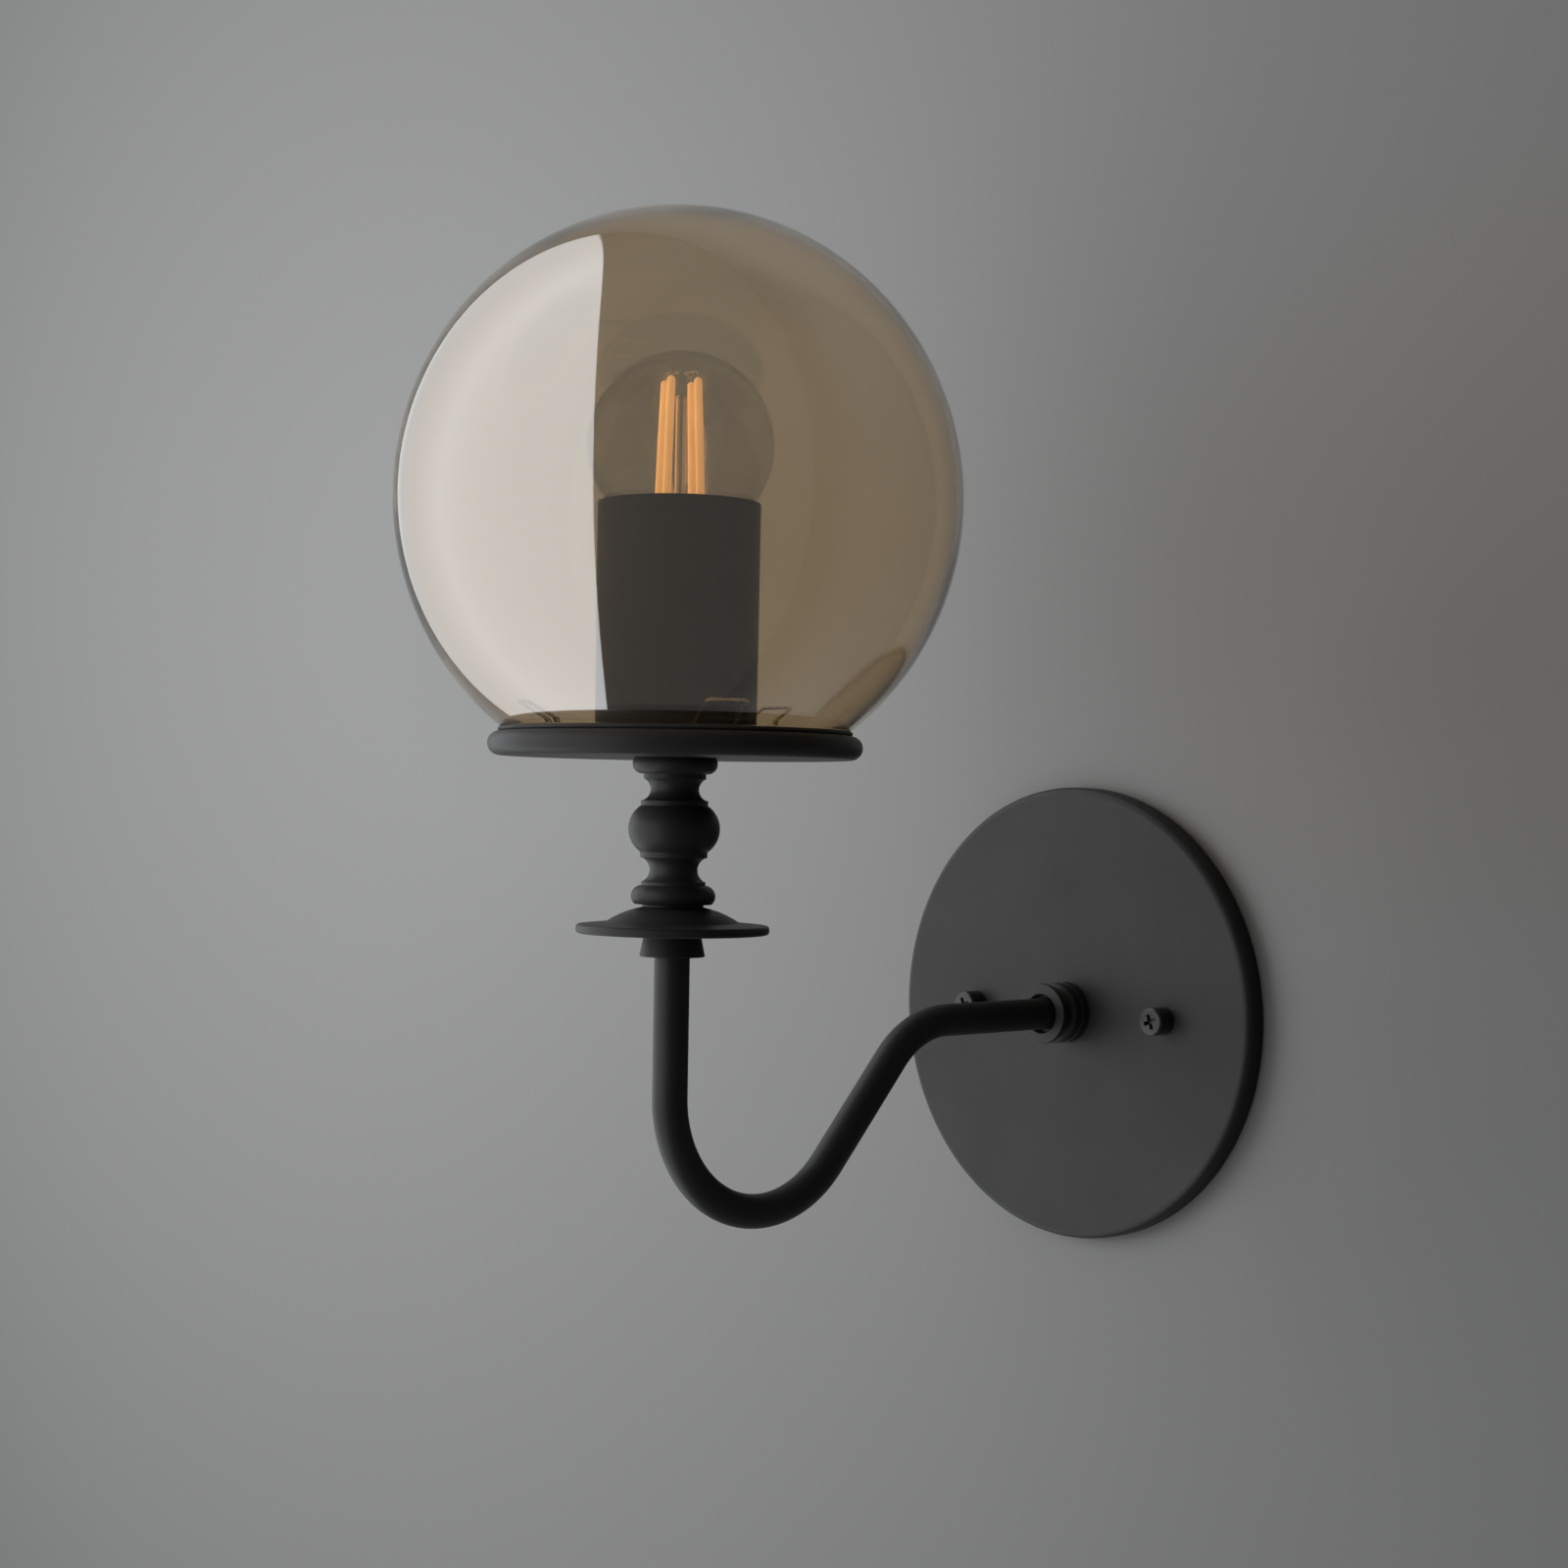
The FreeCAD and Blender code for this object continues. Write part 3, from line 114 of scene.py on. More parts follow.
def arc_through(start, middle, end):
    """Points of the arc from start through middle to end, without its start."""
    ax, ay = start
    bx, by = middle
    cx, cy = end
    twice = 2 * (ax * (by - cy) + bx * (cy - ay) + cx * (ay - by))
    a2, b2, c2 = ax * ax + ay * ay, bx * bx + by * by, cx * cx + cy * cy
    ux = (a2 * (by - cy) + b2 * (cy - ay) + c2 * (ay - by)) / twice
    uy = (a2 * (cx - bx) + b2 * (ax - cx) + c2 * (bx - ax)) / twice
    radius = math.hypot(ax - ux, ay - uy)
    first = math.atan2(ay - uy, ax - ux)
    sweep = (math.atan2(cy - uy, cx - ux) - first) % math.tau
    through = (math.atan2(by - uy, bx - ux) - first) % math.tau
    if through > sweep:
        sweep -= math.tau
    steps = max(3, math.ceil(abs(sweep) / ARC_STEP))
    return [(ux + radius * math.cos(first + sweep * i / steps),
             uy + radius * math.sin(first + sweep * i / steps)) for i in range(1, steps + 1)]


def arc_inset(radius):
    """How far the middle of a quarter arc lies in from the sides of its corner."""
    return radius * (1 - ROOT_HALF)


def drawn(outline, pitch=FINE_PITCH):
    """Points (radius, height, thread depth) of an outline. A step is (r, z), or
    (mid r, mid z, r, z) for an arc, or (r, z, depth) for a threaded run that ends there."""
    points = [(outline[0][0], outline[0][1], 0)]
    for step in outline[1:]:
        here = points[-1][:2]
        if len(step) == 4:
            points += [(r, z, 0) for r, z in arc_through(here, step[:2], step[2:])]
        elif len(step) == 3:
            run = step[1] - here[1]
            count = math.ceil(abs(run) / pitch * POINTS_PER_TURN)
            for i in range(1, count + 1):
                z = here[1] + run * i / count
                from_end = min(abs(z - here[1]), abs(step[1] - z))
                fade = min(1, THREAD_FADE * from_end / pitch)
                points.append((step[0], z, step[2] * fade))
        else:
            points.append((step[0], step[1], 0))
    return points


def softened(points, radius=SOFT_EDGE):
    """A closed outline whose sharp corners off the axis get small arcs."""
    result = []
    count = len(points)
    for index, point in enumerate(points):
        before, after = points[index - 1], points[(index + 1) % count]
        here = Vector(point[:2])
        back = Vector(before[:2]) - here
        ahead = Vector(after[:2]) - here
        threaded = point[2] or before[2] or after[2]
        if point[0] < TINY or threaded or back.length < TINY or ahead.length < TINY:
            result.append(point)
            continue
        turn = math.pi - back.angle(ahead)
        if turn < SOFT_TURN:
            result.append(point)
            continue
        setback = min(radius * math.tan(turn / 2),
                      SOFT_REACH * back.length, SOFT_REACH * ahead.length)
        start = here + back.normalized() * setback
        end = here + ahead.normalized() * setback
        steps = max(2, math.ceil(turn / SOFT_STEP))
        for i in range(steps + 1):
            t = i / steps
            spot = start * (1 - t) ** 2 + here * 2 * t * (1 - t) + end * t * t
            result.append((spot.x, spot.y, 0))
    return result


def revolved(points, sides, pitch=FINE_PITCH):
    """A closed mesh turned about Z from a closed outline, with its threads cut."""
    built = bmesh.new()
    rings = []
    for radius, height, depth in points:
        if radius < TINY:
            rings.append([built.verts.new((0, 0, height))])
            continue
        ring = []
        for side in range(sides):
            angle = math.tau * side / sides
            dip = depth * (0.5 - 0.5 * math.cos(math.tau * height / pitch - angle))
            ring.append(built.verts.new(((radius - dip) * math.cos(angle),
                                         (radius - dip) * math.sin(angle), height)))
        rings.append(ring)
    for lower, upper in zip(rings, rings[1:] + rings[:1]):
        for side in range(sides):
            after = (side + 1) % sides
            corners = [lower[side % len(lower)], lower[after % len(lower)],
                       upper[after % len(upper)], upper[side % len(upper)]]
            corners = list(dict.fromkeys(corners))
            if len(corners) > 2:
                built.faces.new(corners)
    return finished(built)


def finished(built):
    """A mesh from a bmesh, with its faces turned outwards."""
    bmesh.ops.recalc_face_normals(built, faces=built.faces)
    mesh = bpy.data.meshes.new("mesh")
    built.to_mesh(mesh)
    built.free()
    return mesh


def joined(meshes):
    """One mesh of several."""
    built = bmesh.new()
    for mesh in meshes:
        built.from_mesh(mesh)
    return finished(built)


def cut(mesh, tools):
    """The mesh less each tool mesh."""
    shown = bpy.data.objects.new("cut", mesh)
    bpy.context.scene.collection.objects.link(shown)
    helpers = []
    for tool in tools:
        helper = bpy.data.objects.new("tool", tool)
        bpy.context.scene.collection.objects.link(helper)
        helpers.append(helper)
        modifier = shown.modifiers.new("cut", "BOOLEAN")
        modifier.operation = "DIFFERENCE"
        modifier.solver = "EXACT"
        modifier.object = helper
    evaluated = shown.evaluated_get(bpy.context.evaluated_depsgraph_get())
    result = bpy.data.meshes.new_from_object(evaluated)
    for helper in [shown] + helpers:
        bpy.data.objects.remove(helper)
    return result


def cylinder(radius, bottom, top, x=0.0, y=0.0, sides=48):
    """An upright cylinder."""
    mesh = revolved([(0, bottom, 0), (radius, bottom, 0), (radius, top, 0), (0, top, 0)], sides)
    mesh.transform(Matrix.Translation((x, y, 0)))
    return mesh


def box_mesh(size_x, size_y, bottom, top, taper):
    """An upright box, with its foot drawn in by the taper."""
    built = bmesh.new()
    rings = []
    for height, share in ((bottom, taper), (top, 1.0)):
        rings.append([built.verts.new((sx * size_x / 2 * share, sy * size_y / 2 * share, height))
                      for sx, sy in ((-1, -1), (1, -1), (1, 1), (-1, 1))])
    built.faces.new(rings[0])
    built.faces.new(rings[1])
    for side in range(4):
        after = (side + 1) % 4
        built.faces.new([rings[0][side], rings[0][after], rings[1][after], rings[1][side]])
    return finished(built)


# ---- Swept pieces -----------------------------------------------------------------------

def rounded_path(corners, radii):
    """Points along straight runs joined by tangent arcs."""
    points = [corners[0]]
    for index, radius in enumerate(radii, start=1):
        corner = corners[index]
        back = (corners[index - 1] - corner).normalized()
        ahead = (corners[index + 1] - corner).normalized()
        half = back.angle(ahead) / 2
        centre = corner + (back + ahead).normalized() * (radius / math.sin(half))
        start = corner + back * (radius / math.tan(half)) - centre
        axis = start.cross(corner - centre).normalized()
        sweep = math.pi - 2 * half
        steps = max(4, math.ceil(sweep / BEND_STEP))
        points += [centre + Matrix.Rotation(sweep * i / steps, 3, axis) @ start
                   for i in range(steps + 1)]
    points.append(corners[-1])
    return points


def swept(path, radius, sides, bore=0.0):
    """A round bar along a path, or a pipe where a bore is given."""
    built = bmesh.new()
    angles = [math.tau * side / sides for side in range(sides)]
    ahead = (path[1] - path[0]).normalized()
    across = ahead.orthogonal().normalized()
    skins = [[] for _ in range(2 if bore else 1)]
    for index, spot in enumerate(path):
        before, after = path[max(index - 1, 0)], path[min(index + 1, len(path) - 1)]
        direction = (after - before).normalized()
        across = (ahead.rotation_difference(direction) @ across).normalized()
        ahead = direction
        other = ahead.cross(across)
        for skin, size in zip(skins, (radius, bore)):
            skin.append([built.verts.new(spot + size * (across * math.cos(angle)
                                                        + other * math.sin(angle)))
                         for angle in angles])
    for skin in skins:
        for lower, upper in zip(skin, skin[1:]):
            for side in range(sides):
                after = (side + 1) % sides
                built.faces.new([lower[side], lower[after], upper[after], upper[side]])
    for end in (0, -1):
        if bore:
            for side in range(sides):
                after = (side + 1) % sides
                built.faces.new([skins[0][end][side], skins[0][end][after],
                                 skins[1][end][after], skins[1][end][side]])
        else:
            built.faces.new(skins[0][end])
    return finished(built)


# ---- Materials --------------------------------------------------------------------------

NOISE_SPAN = (0.3, 0.7)    # where nearly all of a noise's values lie
CLOUDS = 35                # noise scales, in cycles a metre
PATCHES = 90
BLOOM = 160
MARKS = 1200
TINT_CLOUDS = 22
SMEARS = 300
SMEARED = (0.0, 0.012)     # roughness of glass


class Graph:
    """A node material with short calls to add and link its nodes."""

    def __init__(self, name):
        self.material = bpy.data.materials.new(name)
        self.material.use_nodes = True
        self.tree = self.material.node_tree
        self.tree.nodes.clear()
        self.output = self.tree.nodes.new("ShaderNodeOutputMaterial")
        self.place = self.tree.nodes.new("ShaderNodeTexCoord").outputs["Object"]

    def add(self, kind, inputs=None, **settings):
        """A node of a kind, with its settings, and with values or links for its inputs."""
        node = self.tree.nodes.new("ShaderNode" + kind)
        for name, value in settings.items():
            setattr(node, name, value)
        for name, value in (inputs or {}).items():
            if isinstance(value, bpy.types.NodeSocket):
                self.tree.links.new(value, node.inputs[name])
            else:
                node.inputs[name].default_value = value
        return node

    def noise(self, scale, detail, roughness=0.5):
        """Noise between 0 and 1, with its scale in cycles a metre."""
        return self.add("TexNoise", {"Vector": self.place, "Scale": scale,
                                     "Detail": detail, "Roughness": roughness}).outputs["Fac"]

    def graded(self, value, low, high):
        """A colour between two, led by a noise."""
        ramp = self.add("ValToRGB", {"Fac": value})
        for element, position, colour in zip(ramp.color_ramp.elements, NOISE_SPAN, (low, high)):
            element.position = position
            element.color = (*colour, 1)
        return ramp.outputs["Color"]

    def ranged(self, value, low, high, span=NOISE_SPAN):
        """A number from low to high, led by a value over its span."""
        return self.add("MapRange", {"Value": value, "From Min": span[0], "From Max": span[1],
                                     "To Min": low, "To Max": high}).outputs["Result"]

    def bumped(self, height, depth):
        """A normal roughened by a height, with the depth in metres."""
        return self.add("Bump", {"Height": height, "Distance": depth}).outputs["Normal"]

    def mixed(self, share, first, second):
        """A blend of two shaders."""
        return self.add("MixShader", {"Fac": share, 1: first.outputs[0], 2: second.outputs[0]})

    def tinted(self, share, first, second):
        """A blend of a colour socket and a plain colour."""
        return self.add("Mix", {0: share, 6: first, 7: (*second, 1)},
                        data_type="RGBA").outputs[2]

    def done(self, shader):
        """Link the shader and return the material."""
        self.tree.links.new(shader.outputs[0], self.output.inputs["Surface"])
        return self.material


def named_inputs(shader):
    """Keywords as the names of a shader's inputs."""
    return {key.replace("_", " "): value for key, value in shader.items()}


def painted(name, low, high, roughness, grain, depth, **shader):
    """Paint or moulding: slightly uneven colour and gloss over a fine grain."""
    graph = Graph(name)
    colour = graph.graded(graph.noise(CLOUDS, 3), low, high)
    normal = graph.bumped(graph.noise(grain, 3, 0.6), depth)
    gloss = graph.ranged(graph.noise(PATCHES, 4), *roughness)
    inputs = {"Base Color": colour, "Roughness": gloss, "IOR": 1.45, "Normal": normal}
    inputs.update(named_inputs(shader))
    return graph.done(graph.add("BsdfPrincipled", inputs))


def metal(name, low, high, roughness, depth=0.00001):
    """Bare or plated metal with fine marks."""
    graph = Graph(name)
    marks = graph.noise(MARKS, 4, 0.6)
    colour = graph.graded(graph.noise(BLOOM, 3), low, high)
    return graph.done(graph.add("BsdfPrincipled", {
        "Base Color": colour, "Metallic": 1.0, "Roughness": graph.ranged(marks, *roughness),
        "Normal": graph.bumped(marks, depth)}))


LIMB_POWER = 3.5           # how late the limb's colour sets in
COAT_SPAN = (0.45, 0.75)   # over which of Layer Weight's values the coat fades


def clear_glass(name, tints, ior, wave, wave_depth, limb=None, **shader):
    """Tinted glass with faint waves. Towards its limb it takes the limb's colour, where one is
    given, and loses its coat. Its shadow lets the light through."""
    graph = Graph(name)
    normal = graph.bumped(graph.noise(wave, 1, 0.4), wave_depth)
    tint = graph.graded(graph.noise(TINT_CLOUDS, 2), *tints)
    if limb:
        facing = graph.add("LayerWeight", {"Blend": 0.5}).outputs["Facing"]
        slope = graph.add("Math", {0: facing, 1: LIMB_POWER}, operation="POWER").outputs[0]
        tint = graph.tinted(slope, tint, limb)
        shader["Coat_Weight"] = graph.ranged(facing, 1.0, 0.0, COAT_SPAN)
    inputs = {"Base Color": tint, "Roughness": graph.ranged(graph.noise(SMEARS, 3), *SMEARED),
              "IOR": ior, "Transmission Weight": 1.0, "Normal": normal}
    inputs.update(named_inputs(shader))
    surface = graph.add("BsdfPrincipled", inputs)
    through = [math.sqrt(share) for share in tints[1]]
    clear = graph.add("BsdfTransparent", {"Color": (*through, 1)})
    shadow = graph.add("LightPath").outputs["Is Shadow Ray"]
    return graph.done(graph.mixed(shadow, surface, clear))


SMOKE_TINTS = ((0.965, 0.82, 0.62), (0.99, 0.86, 0.68))
OUTER_GLASS = clear_glass("smoked_glass_outer", SMOKE_TINTS, 1.5, 18, 0.0006,
                          (0.42, 0.34, 0.25), Coat_IOR=2.65)
INNER_GLASS = clear_glass("smoked_glass_inner", SMOKE_TINTS, 1.5, 18, 0.0006,
                          (0.60, 0.50, 0.38), Coat_IOR=1.8)

# One for each material slot of the solids. Paint takes two colours, a range of roughness, and
# the scale and depth of its grain; metal takes two colours and a range of roughness.
MATERIALS = {
    "black_paint": painted("black_paint", (0.016, 0.016, 0.0162), (0.020, 0.020, 0.0203),
                           (0.44, 0.46), 1500, 0.00004, IOR=1.27),
    "screw_black": painted("screw_black", (0.010, 0.010, 0.0105), (0.017, 0.017, 0.018),
                           (0.30, 0.42), 2200, 0.00002),
    "zinc_plate": metal("zinc_plate", (0.52, 0.52, 0.50), (0.66, 0.66, 0.63), (0.28, 0.46)),
    "earth_green": painted("earth_green", (0.020, 0.16, 0.050), (0.030, 0.22, 0.075),
                           (0.30, 0.42), 1800, 0.00002),
    "lead_black": painted("lead_black", (0.012, 0.012, 0.012), (0.020, 0.020, 0.020),
                          (0.35, 0.5), 900, 0.00003),
    "lead_white": painted("lead_white", (0.66, 0.65, 0.62), (0.76, 0.75, 0.72),
                          (0.35, 0.5), 900, 0.00003),
    "gasket_rubber": painted("gasket_rubber", (0.010, 0.010, 0.010), (0.018, 0.018, 0.018),
                             (0.6, 0.8), 1200, 0.00006),
    "spring_wire": metal("spring_wire", (0.62, 0.50, 0.30), (0.74, 0.62, 0.40), (0.18, 0.32)),
    "smoked_glass": OUTER_GLASS,
    "socket_moulding": painted("socket_moulding", (0.013, 0.013, 0.014), (0.022, 0.022, 0.023),
                               (0.35, 0.5), 700, 0.00005),
    "socket_brass": metal("socket_brass", (0.70, 0.50, 0.22), (0.82, 0.62, 0.32), (0.2, 0.36)),
    "bulb_glass": clear_glass("bulb_glass", ((0.965, 0.965, 0.96), (0.985, 0.985, 0.98)), 1.47,
                              25, 0.0002, Coat_Weight=1.0, Coat_IOR=1.8),
    "bulb_nickel": metal("bulb_nickel", (0.62, 0.60, 0.56), (0.74, 0.72, 0.68), (0.16, 0.3)),
    "bulb_insulator": painted("bulb_insulator", (0.008, 0.008, 0.010), (0.016, 0.016, 0.020),
                              (0.08, 0.2), 300, 0.00005),
    "solder": metal("solder", (0.55, 0.55, 0.55), (0.68, 0.68, 0.67), (0.25, 0.5), 0.00005),
    # Painted glow: the filament coating emits a faint orange light although the bulb is unlit.
    "filament_coating": painted("filament_coating", (0.92, 0.52, 0.20), (0.98, 0.64, 0.28),
                                (0.4, 0.6), 1400, 0.00008, Emission_Color=(1.0, 0.55, 0.24, 1),
                                Emission_Strength=0.65),
    "support_wire": metal("support_wire", (0.78, 0.77, 0.75), (0.90, 0.89, 0.86), (0.35, 0.5)),
}


# ---- Dressing ---------------------------------------------------------------------------

def dressed(name, mesh, *nodes, place=IN_FRAME):
    """A shown piece in place of its solids, with the body and the material of the first."""
    mesh.transform(place)
    mesh.name = name
    for face in mesh.polygons:
        face.use_smooth = True
    mesh.set_sharp_from_angle(angle=SHARP_ANGLE)
    mesh.materials.clear()
    mesh.materials.append(MATERIALS[SLOT_OF[nodes[0]]])
    piece = bpy.data.objects.new(name, mesh)
    bpy.context.scene.collection.objects.link(piece)
    weighted = piece.modifiers.new("shading", "WEIGHTED_NORMAL")
    weighted.keep_sharp = True
    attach(piece, NODES[nodes[0]]["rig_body"])
    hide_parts(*nodes)


def lathe(name, node, outline, place=ON_STEM, sides=192, tools=(), pitch=FINE_PITCH):
    """A turned piece in place of one solid, less its tools."""
    mesh = revolved(softened(drawn(outline, pitch)), sides, pitch)
    if tools:
        mesh = cut(mesh, tools)
    dressed(name, mesh, node, place=place)


# ---- Wall side --------------------------------------------------------------------------

CANOPY_R, _, CANOPY_FACE = wall_sizes("wall_canopy")
CANOPY_WALL = 1.2
CANOPY_EDGE_R = 2.4
SCREW_X = sum(corner.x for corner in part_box("canopy_screw_right")) / 2 / MM
SHANK_R = 2.05
PIPE_PLAY = 0.2
SHANK_PLAY = 0.45
PAST = 1                   # how far a tool runs past what it cuts


def canopy_pan():
    """Shallow spun pan, open at the wall, with a rounded front edge."""
    inner_r = CANOPY_R - CANOPY_WALL
    inner_face = CANOPY_FACE - CANOPY_WALL
    inner_edge = CANOPY_EDGE_R - CANOPY_WALL
    bend = arc_inset(CANOPY_EDGE_R)
    inner_bend = arc_inset(inner_edge)
    holes = [cylinder(PIPE_R + PIPE_PLAY, -PAST, CANOPY_FACE + PAST)]
    for side in (-1, 1):
        holes.append(cylinder(SHANK_R + SHANK_PLAY, -PAST, CANOPY_FACE + PAST, side * SCREW_X))
    lathe("canopy_pan", "wall_canopy", [
        (0, CANOPY_FACE),
        (CANOPY_R - CANOPY_EDGE_R, CANOPY_FACE),
        (CANOPY_R - bend, CANOPY_FACE - bend, CANOPY_R, CANOPY_FACE - CANOPY_EDGE_R),
        (CANOPY_R, 0),
        (inner_r, 0),
        (inner_r, inner_face - inner_edge),
        (inner_r - inner_bend, inner_face - inner_bend, inner_r - inner_edge, inner_face),
        (0, inner_face)], place=ON_WALL, sides=256, tools=holes)


def canopy_screw(node, name, side):
    """Tall cylindrical head with a cross recess, on a threaded shank."""
    head_r, back, top = wall_sizes(node)
    edge = 0.5
    slot_length, slot_width, slot_depth, slot_taper = 5.0, 1.3, 1.6, 0.8
    turned = Matrix.Rotation(math.radians(20), 4, "Z")
    tools = []
    for size_x, size_y in ((slot_length, slot_width), (slot_width, slot_length)):
        tool = box_mesh(size_x, size_y, top - slot_depth, top + PAST, slot_taper)
        tool.transform(turned)
        tools.append(tool)
    place = Matrix.Translation((side * SCREW_X * MM, 0, 0)) @ ON_WALL
    lathe(name, node, [
        (0, back),
        (SHANK_R - edge, back),
        (SHANK_R, back + edge),
        (SHANK_R, CANOPY_FACE - CANOPY_WALL, SCREW_DEPTH),
        (SHANK_R, CANOPY_FACE),
        (head_r, CANOPY_FACE),
        (head_r, top - edge),
        (head_r - edge, top),
        (0, top)], place=place, sides=96, tools=tools, pitch=SCREW_PITCH)


def collar_turning():
    """Turned hub: a thin lip, a deep groove, a chamfered ring, and a step on the canopy."""
    lip_r, back, face = wall_sizes("wall_collar")
    edge = 0.45
    chamfer = 1.0
    lip_back = face - 1.7
    ring_front = lip_back - 3.2
    ring_back = ring_front - 3.0
    step_back = ring_back - 1.0
    step_r = 8.5
    groove_r = 7.0
    mouth_r = 6.05
    mouth_floor = face - 3.4
    seat = mouth_floor - 3.5
    lathe("collar_turning", "wall_collar", [
        (PIPE_R + SLIP_FIT, back),
        (lip_r, back),
        (lip_r, step_back),
        (step_r, step_back),
        (step_r, ring_back),
        (lip_r, ring_back),
        (lip_r, ring_front - chamfer),
        (lip_r - chamfer, ring_front),
        (groove_r + edge, ring_front),
        (groove_r, (lip_back + ring_front) / 2, groove_r + edge, lip_back),
        (lip_r - edge, lip_back),
        (lip_r, lip_back + edge),
        (lip_r, face - edge),
        (lip_r - arc_inset(edge), face - arc_inset(edge), lip_r - edge, face),
        (mouth_r, face),
        (mouth_r, mouth_floor),
        (TUBE_R + SLIP_FIT, mouth_floor),
        (TUBE_R + SLIP_FIT, seat),
        (PIPE_R + SLIP_FIT, seat)], place=ON_WALL)


def threaded_pipe(name, node, sizes, place):
    """Threaded lamp pipe."""
    radius, foot, top = sizes
    chamfer = FINE_DEPTH
    lathe(name, node, [
        (PIPE_BORE_R, foot),
        (radius - chamfer, foot),
        (radius, foot + chamfer),
        (radius, top - chamfer, FINE_DEPTH),
        (radius - chamfer, top),
        (PIPE_BORE_R, top)], place=place, sides=48)


# ---- Arm --------------------------------------------------------------------------------

LOWER_BEND_R = 33.5        # radii of the tube's middle line
UPPER_BEND_R = 30.0
DIAGONAL = math.radians(48.2)
TUBE_WALL = 1.0


def gooseneck():
    """Hollow tube: out of the wall, down the diagonal, round the lower bend and up."""
    last_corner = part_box("arm_tube")[1]
    foot_y = LOWER_BEND_R - ARM_REACH + LOWER_BEND_R * math.sin(DIAGONAL)
    foot_z = LOWER_BEND_R - ARM_DROP - LOWER_BEND_R * math.cos(DIAGONAL)
    high_y = foot_y - foot_z / math.tan(DIAGONAL)
    low_z = -(high_y + ARM_REACH) * math.tan(DIAGONAL)
    corners = [Vector((0, last_corner.y / MM, 0)), Vector((0, high_y, 0)),
               Vector((0, -ARM_REACH, low_z)), Vector((0, -ARM_REACH, last_corner.z / MM))]
    path = rounded_path(corners, [UPPER_BEND_R, LOWER_BEND_R])
    dressed("gooseneck", swept(path, TUBE_R, 96, TUBE_R - TUBE_WALL), "arm_tube")


# ---- Stem -------------------------------------------------------------------------------

def cone_turning():
    """Cone that takes the tube from below."""
    radius, foot, top = stem_sizes("cone_coupling")
    top_r = 7.6
    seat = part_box("arm_tube")[1].z / MM
    lathe("cone_turning", "cone_coupling", [
        (TUBE_R + SLIP_FIT, foot),
        (radius, foot),
        (top_r, top),
        (PIPE_R + SLIP_FIT, top),
        (PIPE_R + SLIP_FIT, seat),
        (TUBE_R + SLIP_FIT, seat)])


def bobeche():
    """Flat brim and a low dome, hollow below round a hub."""
    radius, foot, top = stem_sizes("drip_disc")
    edge = 0.9
    bend = arc_inset(edge)
    wall = 2.2
    rim_top = foot + 2.4
    dome_r, dome_foot = 17.9, foot + 3.1
    neck_r, neck = 8.2, foot + 7.1
    hub_r = 9.2
    hollow_r = 21.5
    swell = 0.4
    mid_r = (dome_r + neck_r) / 2 + swell
    mid_z = (dome_foot + neck) / 2 + swell
    lathe("bobeche", "drip_disc", [
        (PIPE_R + SLIP_FIT, foot),
        (hub_r, foot),
        (hub_r, neck - wall),
        (mid_r, mid_z - wall, hollow_r, foot),
        (radius - edge, foot),
        (radius - bend, foot + bend, radius, foot + edge),
        (radius, rim_top - edge),
        (radius - bend, rim_top - bend, radius - edge, rim_top),
        (dome_r, dome_foot),
        (mid_r, mid_z, neck_r, neck),
        (neck_r, top),
        (PIPE_R + SLIP_FIT, top)])


def baluster_turning():
    """Turned stem: ring, cove, fillet, ball, fillet, cove, ring."""
    radius, foot, top = stem_sizes("baluster")
    ring_top = foot + 5.0
    cove = ring_top + 0.9
    fillet = cove + 6.5
    ball = fillet + 1.5
    ball_top = ball + 12.3
    upper_cove = ball_top + 1.5
    shoulder = upper_cove + 5.7
    top_ring = shoulder + 1.4
    top_swell = top_ring + 2.6
    ring_r, ring_swell_r, ring_top_r = 10.4, 11.28, 8.8
    cove_r, cove_waist_r = 8.6, 6.42
    fillet_r, ball_top_r = 9.0, 9.2
    upper_waist_r, upper_cove_r, shoulder_r = 6.5, 8.15, 8.35
    top_swell_r, top_r = 11.4, 10.9
    lathe("baluster_turning", "baluster", [
        (PIPE_R + SLIP_FIT, foot),
        (ring_r, foot),
        (ring_swell_r, (foot + ring_top) / 2, ring_top_r, ring_top),
        (cove_r, ring_top),
        (cove_r, cove),
        (cove_waist_r, (cove + fillet) / 2, cove_r, fillet),
        (fillet_r, fillet),
        (fillet_r, ball),
        (radius, (ball + ball_top) / 2, ball_top_r, ball_top),
        (fillet_r, ball_top),
        (fillet_r, upper_cove),
        (cove_r, upper_cove),
        (upper_waist_r, (upper_cove + shoulder) / 2, upper_cove_r, shoulder),
        (shoulder_r, shoulder),
        (shoulder_r, top_ring),
        (top_swell_r, top_swell, top_r, top),
        (PIPE_R + SLIP_FIT, top)])


CLIP_ANGLES = [-22.6, 97.4, 217.4]
CLIP_WIRE_R = 0.5
CLIP_WIDTH = 10.6
CLIP_FOOT_RADIUS = 30.0
CLIP_HEIGHT = 8.2          # above the tray
CLIP_ROOT = 2.2            # how deep each end stands in the tray
CLIP_HOLE = 2.3            # depth of its hole
CLIP_BEND_R = 1.3
CLIP_CLEARANCE = 0.4       # to the globe's mouth
TRAY_TOP = stem_sizes("globe_tray")[2]
GLOBE_WALL = 2.0
GLOBE_HALF_HEIGHT = 77.6


def globe_axes():
    """Half width, half height and centre height of the globe."""
    radius, _, top = stem_sizes("glass_globe")
    return radius, GLOBE_HALF_HEIGHT, top - GLOBE_HALF_HEIGHT


